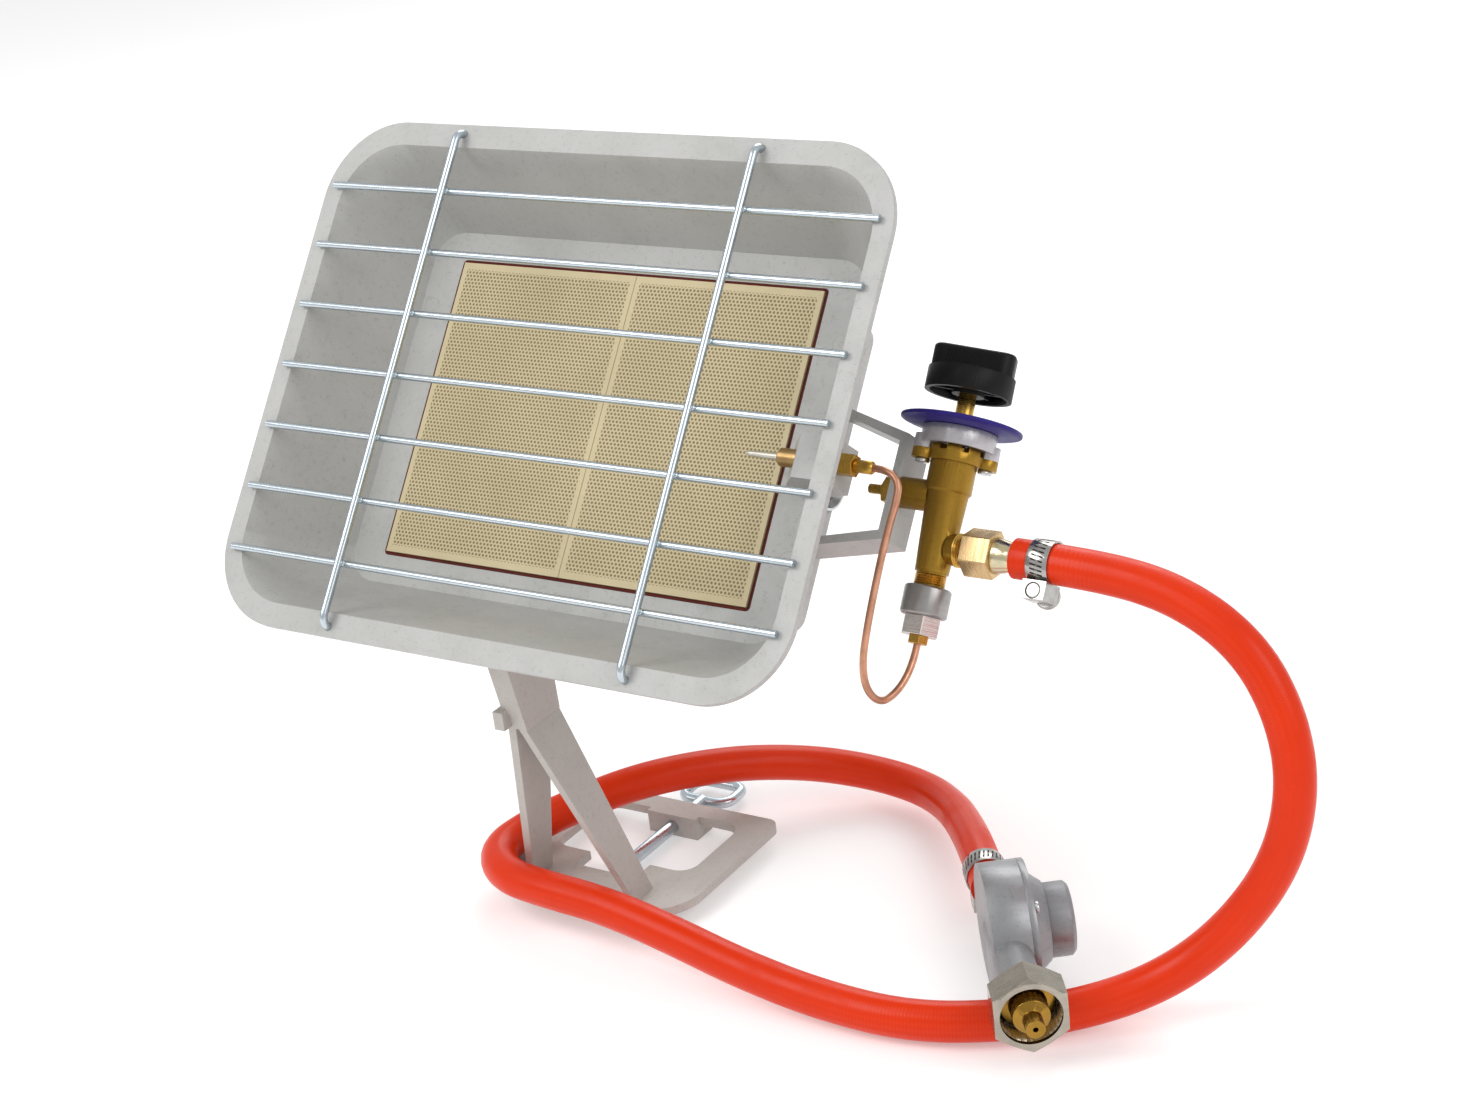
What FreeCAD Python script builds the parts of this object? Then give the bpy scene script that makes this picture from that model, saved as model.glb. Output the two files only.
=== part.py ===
"""A portable radiant propane heater: burner head, valve, hose, regulator and clamp-on stand.

The frame is X to the right, Y to the back and Z up, in millimetres. The origin is on the bottom
face of the clamp boss, in the middle plane of the stand, and the floor is at Z = 0. The head leans
back, so it is drawn in a frame of its own whose Z looks out of the dish.
"""
import FreeCAD, Part

import math
import operator
import os

import Sketcher
from FreeCAD import Placement, Rotation, Vector

os.makedirs("parts", exist_ok=True)

SIZES = {
    # dish: a cast reflector with a flat rim
    "rim_side": 8.5,
    "rim_end": 10.3,
    "rim_corner": 36,
    "rim_thickness": 3,
    "wall_lean_side": 23.25,
    "wall_lean_end": 22.5,
    "mouth_corner": 28,
    "floor_side": 18.05,
    "floor_end": 14,
    "floor_corner": 14,
    "dish_depth": 44.4,
    "dish_wall": 3,
    "dish_floor": 4.5,
    "face_height": 229.2,
    "face_reach": 54.6,
    "face_tilt": 51.7,
    # burner plates and what holds them
    "plate_width": 91.8,
    "plate_height": 132,
    "plate_thickness": 12,
    "plate_gap": 0.3,
    "plate_proud": 1,
    "gasket_thickness": 1.2,
    "gasket_corner": 2,
    "fit_gap": 0.15,
    "retainer_overlap": 2.2,
    "retainer_border": 7,
    "retainer_thickness": 1.2,
    # plenum cover behind the dish
    "cover_flange_margin": 9,
    "cover_flange": 3,
    "cover_side": 8.05,
    "cover_end": 7.5,
    "cover_corner": 8,
    "cover_taper": 6.5,
    "cover_depth": 36,
    "cover_wall": 3,
    "post_radius": 3,
    "cover_screw_side": 45,
    "cover_screw_top": 40,
    "cover_screw_radius": 2,
    "cover_screw_head": 3.3,
    "cover_screw_head_height": 2.6,
    "cover_screw_grip": 2.5,
    "screw_gap": 0.1,
    "baffle_width": 140,
    "baffle_height": 100,
    "baffle_drop": 2,
    "sheet_metal": 1,
    # the loop that carries the valve, and the gas entry
    "bracket_overhang": 23.5,
    "bracket_plate": 3.2,
    "bracket_arm": 3.3,
    "bracket_front": 12,
    "bracket_depth": 20,
    "bracket_root_top": 28.5,
    "bracket_root_bottom": -36.2,
    "bracket_tip_top": 16.8,
    "bracket_tip_bottom": -26.8,
    "gas_line_y": -6,
    "gas_line_depth": 70,
    "inlet_boss_radius": 13,
    "inlet_boss_inset": 1.5,
    "mixing_tube_radius": 9,
    "mixing_tube_wall": 1,
    "mixing_tube_length": 154,
    "bell_radius": 11,
    "bell_length": 3,
    "injector_shank": 4,
    "injector_flats": 10,
    "injector_head": 4,
    "injector_tip": 2,
    "injector_tip_length": 7.5,
    "injector_grip": 10,
    "bore_gap": 0.05,
    # guard
    "guard_wire": 1.5,
    "guard_upright_wire": 1.7,
    "guard_side": 5.55,
    "guard_pitch": 27.3,
    "guard_upright_x": 74.6,
    "guard_hook_margin": 4.4,
    "guard_weld": 0.25,
    "guard_lift": 0.05,
    # thermocouple
    "probe_y": -8,
    "probe_depth": 27,
    "probe_tip_length": 16,
    "probe_sleeve_length": 26.2,
    "probe_seat_reach": 17.2,
    "probe_tip_radius": 1.2,
    "probe_sleeve_radius": 3.7,
    "probe_nut_flats": 8,
    "probe_nut_length": 8,
    "ferrule_radius": 2.6,
    "ferrule_length": 8,
    "pocket_width": 18,
    "lead_radius": 1.5,
    # valve, along its own axis
    "valve_offset": 20.1,
    "valve_lean": 4,
    "body_radius": 9.3,
    "body_top": 13.5,
    "body_shoulder": 2.5,
    "cone_top_radius": 8.4,
    "cone_bottom_radius": 6.8,
    "cone_bottom": 30.2,
    "thread_radius": 6,
    "thread_bottom": 42,
    "side_boss_radius": 6.3,
    "outlet_radius": 6.3,
    "outlet_drop": 20,
    "outlet_reach": 20,
    "flange_radius": 11.5,
    "flange_thickness": 4,
    "ear_reach": 12.5,
    "ear_radius": 4.6,
    "ear_turn": 31,
    "crown_height": 2.2,
    "crown_slot": 3,
    "plug_top_radius": 6,
    "plug_bottom_radius": 5,
    "plug_bottom": 12,
    "plug_top": 10,
    "stem_radius": 3.6,
    "stem_top": 55,
    "stem_collar": 5,
    "stem_collar_height": 1.5,
    "stem_spring_wire": 0.6,
    "push_travel": 4,
    "bonnet_radius": 15,
    "bonnet_height": 7.3,
    "bonnet_roof": 4,
    "bonnet_wall": 2,
    "seal_width": 0.9,
    "bonnet_screw_radius": 1.6,
    "bonnet_screw_head": 2.8,
    "dial_radius": 24.4,
    "dial_thickness": 3,
    "dial_bevel": 2.4,
    "knob_bottom": 41.5,
    "knob_radius": 17.5,
    "knob_skirt": 9,
    "knob_wall": 2,
    "knob_height": 18.5,
    "knob_grip_width": 33,
    "knob_grip_depth": 14,
    "knob_grip_corner": 5,
    "knob_edge": 1.6,
    "knob_hub": 6.5,
    "knob_rib": 1.2,
    "knob_turn": 20,
    "magnet_radius": 3.9,
    "magnet_length": 17,
    "magnet_case_radius": 9.4,
    "magnet_case_top": 36,
    "magnet_case_length": 11.8,
    "magnet_case_roof": 4,
    "magnet_cap_flats": 14,
    "magnet_cap_length": 7.7,
    "lead_nut_flats": 7.5,
    "lead_nut_length": 3.3,
    # hose connection
    "union_flats": 17,
    "union_length": 12.5,
    "union_overlap": 6,
    "tail_length": 8.3,
    "tail_radius": 7.3,
    "tail_end_radius": 6,
    "hose_radius": 8,
    "clamp_band": 0.8,
    "clamp_width": 9,
    "clamp_gap": 0.05,
    "clamp_case_width": 10,
    "clamp_case_height": 6.5,
    "clamp_case_length": 13,
    "clamp_screw_radius": 3.2,
    "clamp_screw_head": 5,
    "clamp_inset": 8,
    # regulator
    "regulator_x": 193.3,
    "regulator_y": -58.3,
    "regulator_z": 26,
    "regulator_turn": -53.5,
    "regulator_radius": 25.7,
    "regulator_back": 7,
    "regulator_front": 8.2,
    "regulator_wall": 3,
    "regulator_lip": 2,
    "cover_lip": 1.8,
    "cover_dome_radius": 20.6,
    "cover_dome": 6,
    "cap_radius": 14.8,
    "cap_height": 10,
    "neck_radius": 6.5,
    "neck_end": 30,
    "inlet_radius": 8,
    "inlet_end": 50,
    "nut_flats": 28,
    "nut_start": 51,
    "nut_length": 14,
    "nut_bore": 11.9,
    "nut_web": 3,
    "nipple_radius": 7.2,
    "nipple_length": 9,
    "nipple_tip_radius": 3.75,
    "nipple_tip_length": 7,
    "nipple_collar": 10.5,
    "diaphragm_thickness": 1,
    "spring_radius": 7,
    "spring_wire": 0.9,
    "regulator_screw_ring": 23.2,
    "regulator_screw_radius": 1.5,
    "regulator_screw_head": 2.4,
    "regulator_screw_grip": 5,
    # stand
    "base_width": 100,
    "base_front": -82,
    "base_back": 5,
    "base_bottom": 6.5,
    "base_thickness": 4,
    "base_front_corner": 22,
    "base_back_corner": 6,
    "window_width": 72,
    "window_front": -48.5,
    "window_back": -5,
    "window_corner": 8,
    "notch_width": 32,
    "notch_front": -60,
    "boss_width": 26,
    "boss_front": -8,
    "boss_back": 4,
    "jaw_width": 68,
    "jaw_depth": 6,
    "leg_foot_x": 27.8,
    "leg_foot_front": -76.5,
    "leg_foot_back": -64,
    "leg_thickness": 3.8,
    "leg_top": 100,
    "leg_top_x": 2.7,
    "leg_top_front": -101.7,
    "leg_top_back": -78.9,
    "stem_end_drop": 0.7,
    "stem_end_front": 10.5,
    "stem_end_back": 17.5,
    "stem_width": 10,
    "saddle_width": 44,
    "saddle_thickness": 5,
    "saddle_pad": 4,
    "saddle_start": 0.12,
    "saddle_end": 0.82,
    "saddle_bolt_x": 15,
    "saddle_bolt_radius": 2.5,
    "saddle_bolt_head": 4.2,
    "saddle_bolt_head_height": 3.5,
    "saddle_bolt_grip": 5,
    "peg_z": 105,
    "peg_height": 8,
    "peg_width": 5,
    "peg_reach": 5,
    # table clamp
    "screw_radius": 3,
    "screw_z": 4.8,
    "screw_tip": -50,
    "screw_back": 17,
    "loop_wire": 2.5,
    "loop_width": 25,
    "loop_length": 17,
    "loop_corner": 6,
    "pad_radius": 4.5,
    "pad_thickness": 3,
}

doc = FreeCAD.newDocument("portable_heater")
sheet = doc.addObject("Spreadsheet::Sheet", "sizes")
for row, (alias, length) in enumerate(SIZES.items(), start=1):
    sheet.set(f"A{row}", alias)
    sheet.set(f"B{row}", str(length))
    sheet.setAlias(f"B{row}", alias)
doc.recompute()

OPERATORS = {"+": operator.add, "-": operator.sub, "*": operator.mul, "/": operator.truediv}


class Size:
    """A length: its number, and the sheet formula that a property is bound to."""

    def __init__(self, number, formula):
        self.number = number
        self.formula = formula

    def __add__(self, other):
        return combine(self, "+", other)

    def __radd__(self, other):
        return combine(other, "+", self)

    def __sub__(self, other):
        return combine(self, "-", other)

    def __rsub__(self, other):
        return combine(other, "-", self)

    def __mul__(self, other):
        return combine(self, "*", other)

    def __rmul__(self, other):
        return combine(other, "*", self)

    def __truediv__(self, other):
        return combine(self, "/", other)

    def __neg__(self):
        return combine(0, "-", self)


def as_size(value):
    """A plain number as a Size, and a Size as it is."""
    if isinstance(value, Size):
        return value
    return Size(float(value), f"({float(value)})")


def combine(left, sign, right):
    """The sum, difference, product or quotient of two sizes."""
    left, right = as_size(left), as_size(right)
    return Size(OPERATORS[sign](left.number, right.number), f"({left.formula} {sign} {right.formula})")


class SheetSizes:
    """Gives every cell of the sheet as a Size, by its alias."""

    def __getattr__(self, alias):
        return Size(float(sheet.get(alias)), f"sizes.{alias}")


size = SheetSizes()


def sine(angle):
    """The sine of an angle in degrees."""
    return Size(math.sin(math.radians(angle.number)), f"sin({angle.formula} * 1 deg)")


def cosine(angle):
    """The cosine of an angle in degrees."""
    return Size(math.cos(math.radians(angle.number)), f"cos({angle.formula} * 1 deg)")


def numbers(*values):
    """A vector from sizes or plain numbers."""
    return Vector(*[as_size(value).number for value in values])


def bind(target, property_name, value):
    """Ties a property to the sheet."""
    target.setExpression(property_name, as_size(value).formula)


# Places that several pieces share

DISH_BACK = -(size.dish_depth + size.dish_floor)
PLATES_WIDTH = 2 * size.plate_width + size.plate_gap
FLOOR_WIDTH = PLATES_WIDTH + 2 * size.floor_side
FLOOR_HEIGHT = size.plate_height + 2 * size.floor_end
MOUTH_WIDTH = FLOOR_WIDTH + 2 * size.wall_lean_side
MOUTH_HEIGHT = FLOOR_HEIGHT + 2 * size.wall_lean_end
RIM_WIDTH = MOUTH_WIDTH + 2 * size.rim_side
RIM_HEIGHT = MOUTH_HEIGHT + 2 * size.rim_end
GUARD_WIDTH = RIM_WIDTH - 2 * size.guard_side
COVER_WIDTH = PLATES_WIDTH + 2 * size.cover_side
COVER_HEIGHT = size.plate_height + 2 * size.cover_end
BRACKET_REACH = FLOOR_WIDTH / 2 + size.bracket_overhang
VALVE_X = BRACKET_REACH + size.valve_offset
PROBE_SEAT = FLOOR_WIDTH / 2 + size.probe_seat_reach
PROBE_SLEEVE_START = PROBE_SEAT - size.probe_sleeve_length
PROBE_TIP_START = PROBE_SLEEVE_START - size.probe_tip_length
GASKET_WIDTH = PLATES_WIDTH + 2 * size.fit_gap + 2 * size.gasket_thickness
GASKET_HEIGHT = size.plate_height + 2 * size.fit_gap + 2 * size.gasket_thickness
PLATE_BACK = -(size.dish_depth - size.plate_proud + size.plate_thickness)
RETAINER_BACK = PLATE_BACK - size.retainer_thickness
COVER_BACK = DISH_BACK - size.cover_flange - size.cover_depth
COVER_INSIDE = COVER_BACK + size.cover_wall
POST_X = PLATES_WIDTH / 2 - size.post_radius + 1
POST_Y = size.plate_height / 2 - size.post_radius + 1
BRACKET_ROOT = COVER_WIDTH / 2 - size.cover_taper - size.cover_wall - 2
COVER_SCREW_X = COVER_WIDTH / 2 + size.cover_flange_margin / 2
COVER_SCREW_Y = COVER_HEIGHT / 2 + size.cover_flange_margin / 2
COVER_SCREWS = [(side * COVER_SCREW_X, level * size.cover_screw_side) for side in (-1, 1) for level in (-1, 1)]
COVER_SCREWS += [(side * size.cover_screw_top, level * COVER_SCREW_Y) for side in (-1, 1) for level in (-1, 1)]
CROSS_WIRES = 7
CROSS_WIRE_Z = size.guard_wire + size.guard_lift
UPRIGHT_Z = CROSS_WIRE_Z + size.guard_wire + size.guard_upright_wire - size.guard_weld
GUARD_HOOK_Y = RIM_HEIGHT / 2 - size.guard_hook_margin
INLET_BOSS_END = COVER_WIDTH / 2 - size.inlet_boss_inset
INJECTOR_SEAT = BRACKET_REACH - size.bracket_plate
SIDE_BOSS_REACH = size.valve_offset
FLANGE_TOP = size.body_top + size.flange_thickness
CROWN_TOP = FLANGE_TOP + size.crown_height
BONNET_TOP = CROWN_TOP + size.bonnet_height
EARS = [(side * size.ear_reach * cosine(size.ear_turn), side * size.ear_reach * sine(size.ear_turn))
        for side in (-1, 1)]
COLLAR_BOTTOM = BONNET_TOP - size.bonnet_roof - size.stem_collar_height - size.fit_gap
STEM_BORE = size.stem_radius + size.bore_gap
MAGNET_BORE = size.magnet_radius + size.bore_gap
MAGNET_CASE_END = size.magnet_case_top + size.magnet_case_length
MAGNET_CAP_END = MAGNET_CASE_END + size.magnet_cap_length
LEAD_NUT_END = MAGNET_CAP_END + size.lead_nut_length
UNION_START = size.outlet_reach - size.union_overlap
HOSE_START = size.outlet_reach + size.union_length - size.union_overlap + size.tail_length
CLAMP_SCREW_Y = -(size.hose_radius + size.clamp_band + size.clamp_case_height / 2)
DIAPHRAGM_RADIUS = size.regulator_screw_ring - size.regulator_screw_radius - 1
REGULATOR_SCREWS = [(size.regulator_screw_ring * math.cos(math.radians(turn)),
                     size.regulator_screw_ring * math.sin(math.radians(turn))) for turn in (45, 135, 225, 315)]
COVER_LIP = size.diaphragm_thickness + size.cover_lip
NUT_NECK_BORE = size.inlet_radius - 2 + 0.1
BASE_TOP = size.base_bottom + size.base_thickness

# Frames

def turned_frame(origin, axis, degrees):
    """A frame at a point, turned about an axis."""
    return Placement(numbers(*origin), Rotation(axis, as_size(degrees).number))


X_AXIS, Y_AXIS, Z_AXIS = Vector(1, 0, 0), Vector(0, 1, 0), Vector(0, 0, 1)
HEAD = turned_frame((0, -size.face_reach, size.face_height), X_AXIS, size.face_tilt)
VALVE = HEAD * turned_frame((VALVE_X, size.gas_line_y, -size.gas_line_depth), X_AXIS, size.valve_lean - 90)
REGULATOR = turned_frame((size.regulator_x, size.regulator_y, size.regulator_z), Z_AXIS, size.regulator_turn)
ALONG_X = Rotation(Y_AXIS, 90)
ALONG_Y = Rotation(X_AXIS, -90)


def along_x(frame, x, y, z):
    """A frame whose Z runs along the X of another frame."""
    return frame * Placement(numbers(x, y, z), ALONG_X)


def along_y(frame, x, y, z):
    """A frame whose Z runs along the Y of another frame."""
    return frame * Placement(numbers(x, y, z), ALONG_Y)


# Sketches

def new_body(label, placement=Placement()):
    """An empty body with its label and its place."""
    body = doc.addObject("PartDesign::Body", label)
    body.Label = label
    body.Placement = placement
    return body


def sketch_on(body, role="XY_Plane", offset=0):
    """A sketch on one of the body's own planes, moved along the plane's normal."""
    sketch = body.newObject("Sketcher::SketchObject", "Sketch")
    plane = next(item for item in body.Origin.OriginFeatures if item.Role == role)
    sketch.AttachmentSupport = [(plane, "")]
    sketch.MapMode = "FlatFace"
    bind(sketch, "AttachmentOffset.Base.z", offset)
    return sketch


def hold(sketch, kind, *place, value):
    """A dimension that follows the sheet."""
    value = as_size(value)
    index = sketch.addConstraint(Sketcher.Constraint(kind, *place, value.number))
    sketch.setExpression(f"Constraints[{index}]", value.formula)


def hold_point(sketch, line, end, x, y):
    """Keeps a point at its distance from the sketch's origin."""
    hold(sketch, "DistanceX", -1, 1, line, end, value=x)
    hold(sketch, "DistanceY", -1, 1, line, end, value=y)


def polygon(sketch, corners):
    """A closed outline of straight lines."""
    points = [numbers(x, y, 0) for x, y in corners]
    first = sketch.GeometryCount
    count = len(points)
    lines = [Part.LineSegment(points[i], points[(i + 1) % count]) for i in range(count)]
    sketch.addGeometry(lines, False)
    for i in range(count):
        sketch.addConstraint(Sketcher.Constraint("Coincident", first + i, 2, first + (i + 1) % count, 1))
    for i, (x, y) in enumerate(corners):
        hold_point(sketch, first + i, 1, x, y)
    return sketch


def rectangle(sketch, left, right, bottom, top):
    """A closed rectangle between four sides."""
    return polygon(sketch, [(left, bottom), (right, bottom), (right, top), (left, top)])


def circle(sketch, radius, x=0, y=0):
    """A circle at a point."""
    index = sketch.addGeometry(Part.Circle(numbers(x, y, 0), Z_AXIS, as_size(radius).number), False)
    hold_point(sketch, index, 3, x, y)
    hold(sketch, "Radius", index, value=radius)
    return sketch


def hexagon(sketch, across_flats, x=0, y=0):
    """A regular hexagon, by its width across the flats."""
    reach = across_flats / math.sqrt(3)
    turns = [math.radians(60 * i) for i in range(6)]
    return polygon(sketch, [(x + reach * math.cos(turn), y + reach * math.sin(turn)) for turn in turns])


def rounded_rectangle(sketch, width, height, corner):
    """A rectangle about the origin with four equal round corners."""
    w, h, r = as_size(width).number / 2, as_size(height).number / 2, as_size(corner).number
    first = sketch.GeometryCount
    stops = [(r - w, -h), (w - r, -h), (w, r - h), (w, h - r), (w - r, h), (r - w, h), (-w, h - r), (-w, r - h)]
    centres = [(w - r, r - h), (w - r, h - r), (r - w, h - r), (r - w, r - h)]
    for side in range(4):
        start, end = stops[2 * side], stops[2 * side + 1]
        line = Part.LineSegment(Vector(*start, 0), Vector(*end, 0))
        whole = Part.Circle(Vector(*centres[side], 0), Z_AXIS, r)
        bend = Part.ArcOfCircle(whole, math.radians(90 * side - 90), math.radians(90 * side))
        sketch.addGeometry([line, bend], False)
    for i in range(8):
        sketch.addConstraint(Sketcher.Constraint("Tangent", first + i, 2, first + (i + 1) % 8, 1))
    for kind, lines in (("Horizontal", (0, 4)), ("Vertical", (2, 6))):
        for line in lines:
            sketch.addConstraint(Sketcher.Constraint(kind, first + line))
    for bend in (3, 5, 7):
        sketch.addConstraint(Sketcher.Constraint("Equal", first + 1, first + bend))
    hold(sketch, "Radius", first + 1, value=corner)
    hold(sketch, "DistanceY", -1, 1, first, 1, value=-height / 2)
    hold(sketch, "DistanceX", -1, 1, first + 2, 1, value=width / 2)
    hold(sketch, "DistanceY", -1, 1, first + 4, 1, value=height / 2)
    hold(sketch, "DistanceX", -1, 1, first + 6, 1, value=-width / 2)
    return sketch


# Features

def feature_of(sketch, kind):
    """A new feature made from a sketch in the sketch's own body."""
    feature = sketch.getParentGeoFeatureGroup().newObject("PartDesign::" + kind, kind)
    feature.Profile = sketch
    return feature


def pad(sketch, length, backwards=False, both_ways=False):
    """Adds a prism along the sketch's normal."""
    feature = feature_of(sketch, "Pad")
    feature.Reversed = backwards
    feature.Midplane = both_ways
    bind(feature, "Length", length)
    return feature


def pocket(sketch, depth, forwards=False):
    """Cuts a prism against the sketch's normal, or along it."""
    feature = feature_of(sketch, "Pocket")
    feature.Reversed = forwards
    bind(feature, "Length", depth)
    return feature


def cut_through(sketch):
    """Cuts both ways through everything."""
    feature = feature_of(sketch, "Pocket")
    feature.Type = "ThroughAll"
    feature.Midplane = True
    return feature


def spin(sketch, kind="Revolution"):
    """Turns a sketch a whole turn about its upright axis, as metal or as a groove."""
    feature = feature_of(sketch, kind)
    feature.ReferenceAxis = (sketch, ["V_Axis"])
    feature.Angle = 360
    return feature


def loft(sketches, kind="AdditiveLoft"):
    """Joins two outlines with straight walls, as metal or as a hollow."""
    feature = feature_of(sketches[0], kind)
    feature.Sections = sketches[1:]
    feature.Ruled = True
    return feature


def round_pattern(feature, sketch, count):
    """Repeats a feature about the normal of a sketch."""
    body = sketch.getParentGeoFeatureGroup()
    pattern = body.newObject("PartDesign::PolarPattern", "PolarPattern")
    pattern.Originals = [feature]
    pattern.Axis = (sketch, ["N_Axis"])
    pattern.Angle = 360
    pattern.Occurrences = count
    body.Tip = pattern
    return pattern


def soften(body, radius, is_wanted, kind="Fillet"):
    """Rounds or bevels the edges that a test picks out."""
    doc.recompute()
    base = body.Tip
    names = [f"Edge{i}" for i, edge in enumerate(base.Shape.Edges, start=1) if is_wanted(edge)]
    feature = body.newObject("PartDesign::" + kind, kind)
    feature.Base = (base, names)
    bind(feature, "Radius" if kind == "Fillet" else "Size", radius)
    return feature


def is_upright_at(x, y, reach=0.5):
    """A test for straight edges along Z at a place seen from above."""
    corner = numbers(x, y, 0)

    def test(edge):
        ends = [vertex.Point for vertex in edge.Vertexes]
        if len(ends) != 2 or abs(ends[0].z - ends[1].z) < reach:
            return False
        return all(math.hypot(end.x - corner.x, end.y - corner.y) < reach for end in ends)

    return test


def turned_piece(label, outline, placement):
    """A round piece made by turning an outline of (radius, height) about its own Z."""
    body = new_body(label, placement)
    spin(polygon(sketch_on(body, "XZ_Plane"), outline))
    return body


def hexagon_piece(label, across_flats, length, bore, placement):
    """A hexagon along its own Z, with a hole through it where the bore is given."""
    body = new_body(label, placement)
    sketch = hexagon(sketch_on(body), across_flats)
    if bore is not None:
        circle(sketch, bore)
    pad(sketch, length)
    return body


def made_shape(label, shape, placement=Placement()):
    """A piece whose shape is made directly, at its place."""
    piece = doc.addObject("Part::Feature", label)
    piece.Label = label
    piece.Shape = shape
    piece.Placement = placement
    return piece


# Head

def reflector_housing():
    """The cast dish, with its rim, its floor window, the probe pocket and the saddle pad."""
    body = new_body("reflector_housing", HEAD)
    pad(rounded_rectangle(sketch_on(body), RIM_WIDTH, RIM_HEIGHT, size.rim_corner),
        size.rim_thickness, backwards=True)
    wall = 2 * size.dish_wall
    loft([
        rounded_rectangle(sketch_on(body), MOUTH_WIDTH + wall, MOUTH_HEIGHT + wall,
                          size.mouth_corner + size.dish_wall),
        rounded_rectangle(sketch_on(body, offset=DISH_BACK), FLOOR_WIDTH + wall,
                          FLOOR_HEIGHT + wall, size.floor_corner + size.dish_wall),
    ])
    pad(polygon(sketch_on(body, "YZ_Plane"), SADDLE_PAD), size.saddle_width, both_ways=True)
    loft([
        rounded_rectangle(sketch_on(body), MOUTH_WIDTH, MOUTH_HEIGHT, size.mouth_corner),
        rounded_rectangle(sketch_on(body, offset=-size.dish_depth), FLOOR_WIDTH,
                          FLOOR_HEIGHT, size.floor_corner),
    ], "SubtractiveLoft")
    add_probe_pocket(body)
    cut_through(rounded_rectangle(sketch_on(body, offset=-size.dish_depth), GASKET_WIDTH + 2 * size.fit_gap,
                                  GASKET_HEIGHT + 2 * size.fit_gap, size.gasket_corner))
    probe_bore = circle(sketch_on(body, "YZ_Plane", PROBE_SEAT), size.probe_sleeve_radius + size.bore_gap,
                        size.probe_y, -size.probe_depth)
    pocket(probe_bore, PROBE_SEAT - FLOOR_WIDTH / 2 + 12)
    hooks = sketch_on(body)
    for x in (-size.guard_upright_x, size.guard_upright_x):
        for y in (-GUARD_HOOK_Y, GUARD_HOOK_Y):
            circle(hooks, size.guard_upright_wire + size.bore_gap, x, y)
    pocket(hooks, size.rim_thickness + size.dish_wall)
    screw_holes = sketch_on(body, offset=DISH_BACK)
    for x, y in COVER_SCREWS:
        circle(screw_holes, size.cover_screw_radius + size.bore_gap, x, y)
    pocket(screw_holes, size.cover_screw_grip + size.screw_gap, forwards=True)
    bolt_depth = size.saddle_bolt_grip + size.screw_gap
    cut_bolt_holes(body, HEAD.inverse() * SADDLE_FRAME, size.bore_gap, -bolt_depth, bolt_depth)
    return body


def add_probe_pocket(body):
    """A wedge of metal in the right wall that carries the probe."""
    half = size.pocket_width / 2
    outline = [
        (FLOOR_WIDTH / 2 - 9, -size.dish_depth),
        (FLOOR_WIDTH / 2 - 9, -size.probe_depth - 9),
        (FLOOR_WIDTH / 2 + 2, -size.probe_depth + 7),
        (PROBE_SEAT, -size.probe_depth + 7),
        (PROBE_SEAT, -size.probe_depth - 13),
        (FLOOR_WIDTH / 2 + 4, DISH_BACK + 1.5),
    ]
    pad(polygon(sketch_on(body, "XZ_Plane", half - size.probe_y), outline), size.pocket_width, backwards=True)


def plaque_gasket():
    """The fibre strip that packs the burner plates into the floor window."""
    body = new_body("plaque_gasket", HEAD)
    sketch = sketch_on(body, offset=-size.dish_depth)
    rounded_rectangle(sketch, GASKET_WIDTH, GASKET_HEIGHT, size.gasket_corner)
    half_width, half_height = PLATES_WIDTH / 2 + size.fit_gap, size.plate_height / 2 + size.fit_gap
    rectangle(sketch, -half_width, half_width, -half_height, half_height)
    pad(sketch, size.plate_thickness - size.plate_proud, backwards=True)
    return body


def ceramic_plate(label, side):
    """One of the two burner plates."""
    plate = doc.addObject("Part::Box", label)
    plate.Label = label
    bind(plate, "Length", size.plate_width)
    bind(plate, "Width", size.plate_height)
    bind(plate, "Height", size.plate_thickness)
    inner = size.plate_gap / 2
    left = inner if side > 0 else -(inner + size.plate_width)
    plate.Placement = HEAD * Placement(numbers(left, -size.plate_height / 2, PLATE_BACK), Rotation())
    return plate


def plaque_retainer():
    """The pressed frame that holds the plates and the strip from behind."""
    body = new_body("plaque_retainer", HEAD)
    sketch = sketch_on(body, offset=PLATE_BACK)
    width = PLATES_WIDTH + 2 * size.retainer_overlap
    height = size.plate_height + 2 * size.retainer_overlap
    rounded_rectangle(sketch, width, height, size.retainer_border)
    border = 2 * size.retainer_border
    half_width, half_height = (width - border) / 2, (height - border) / 2
    rectangle(sketch, -half_width, half_width, -half_height, half_height)
    pad(sketch, size.retainer_thickness, backwards=True)
    return body


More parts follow.
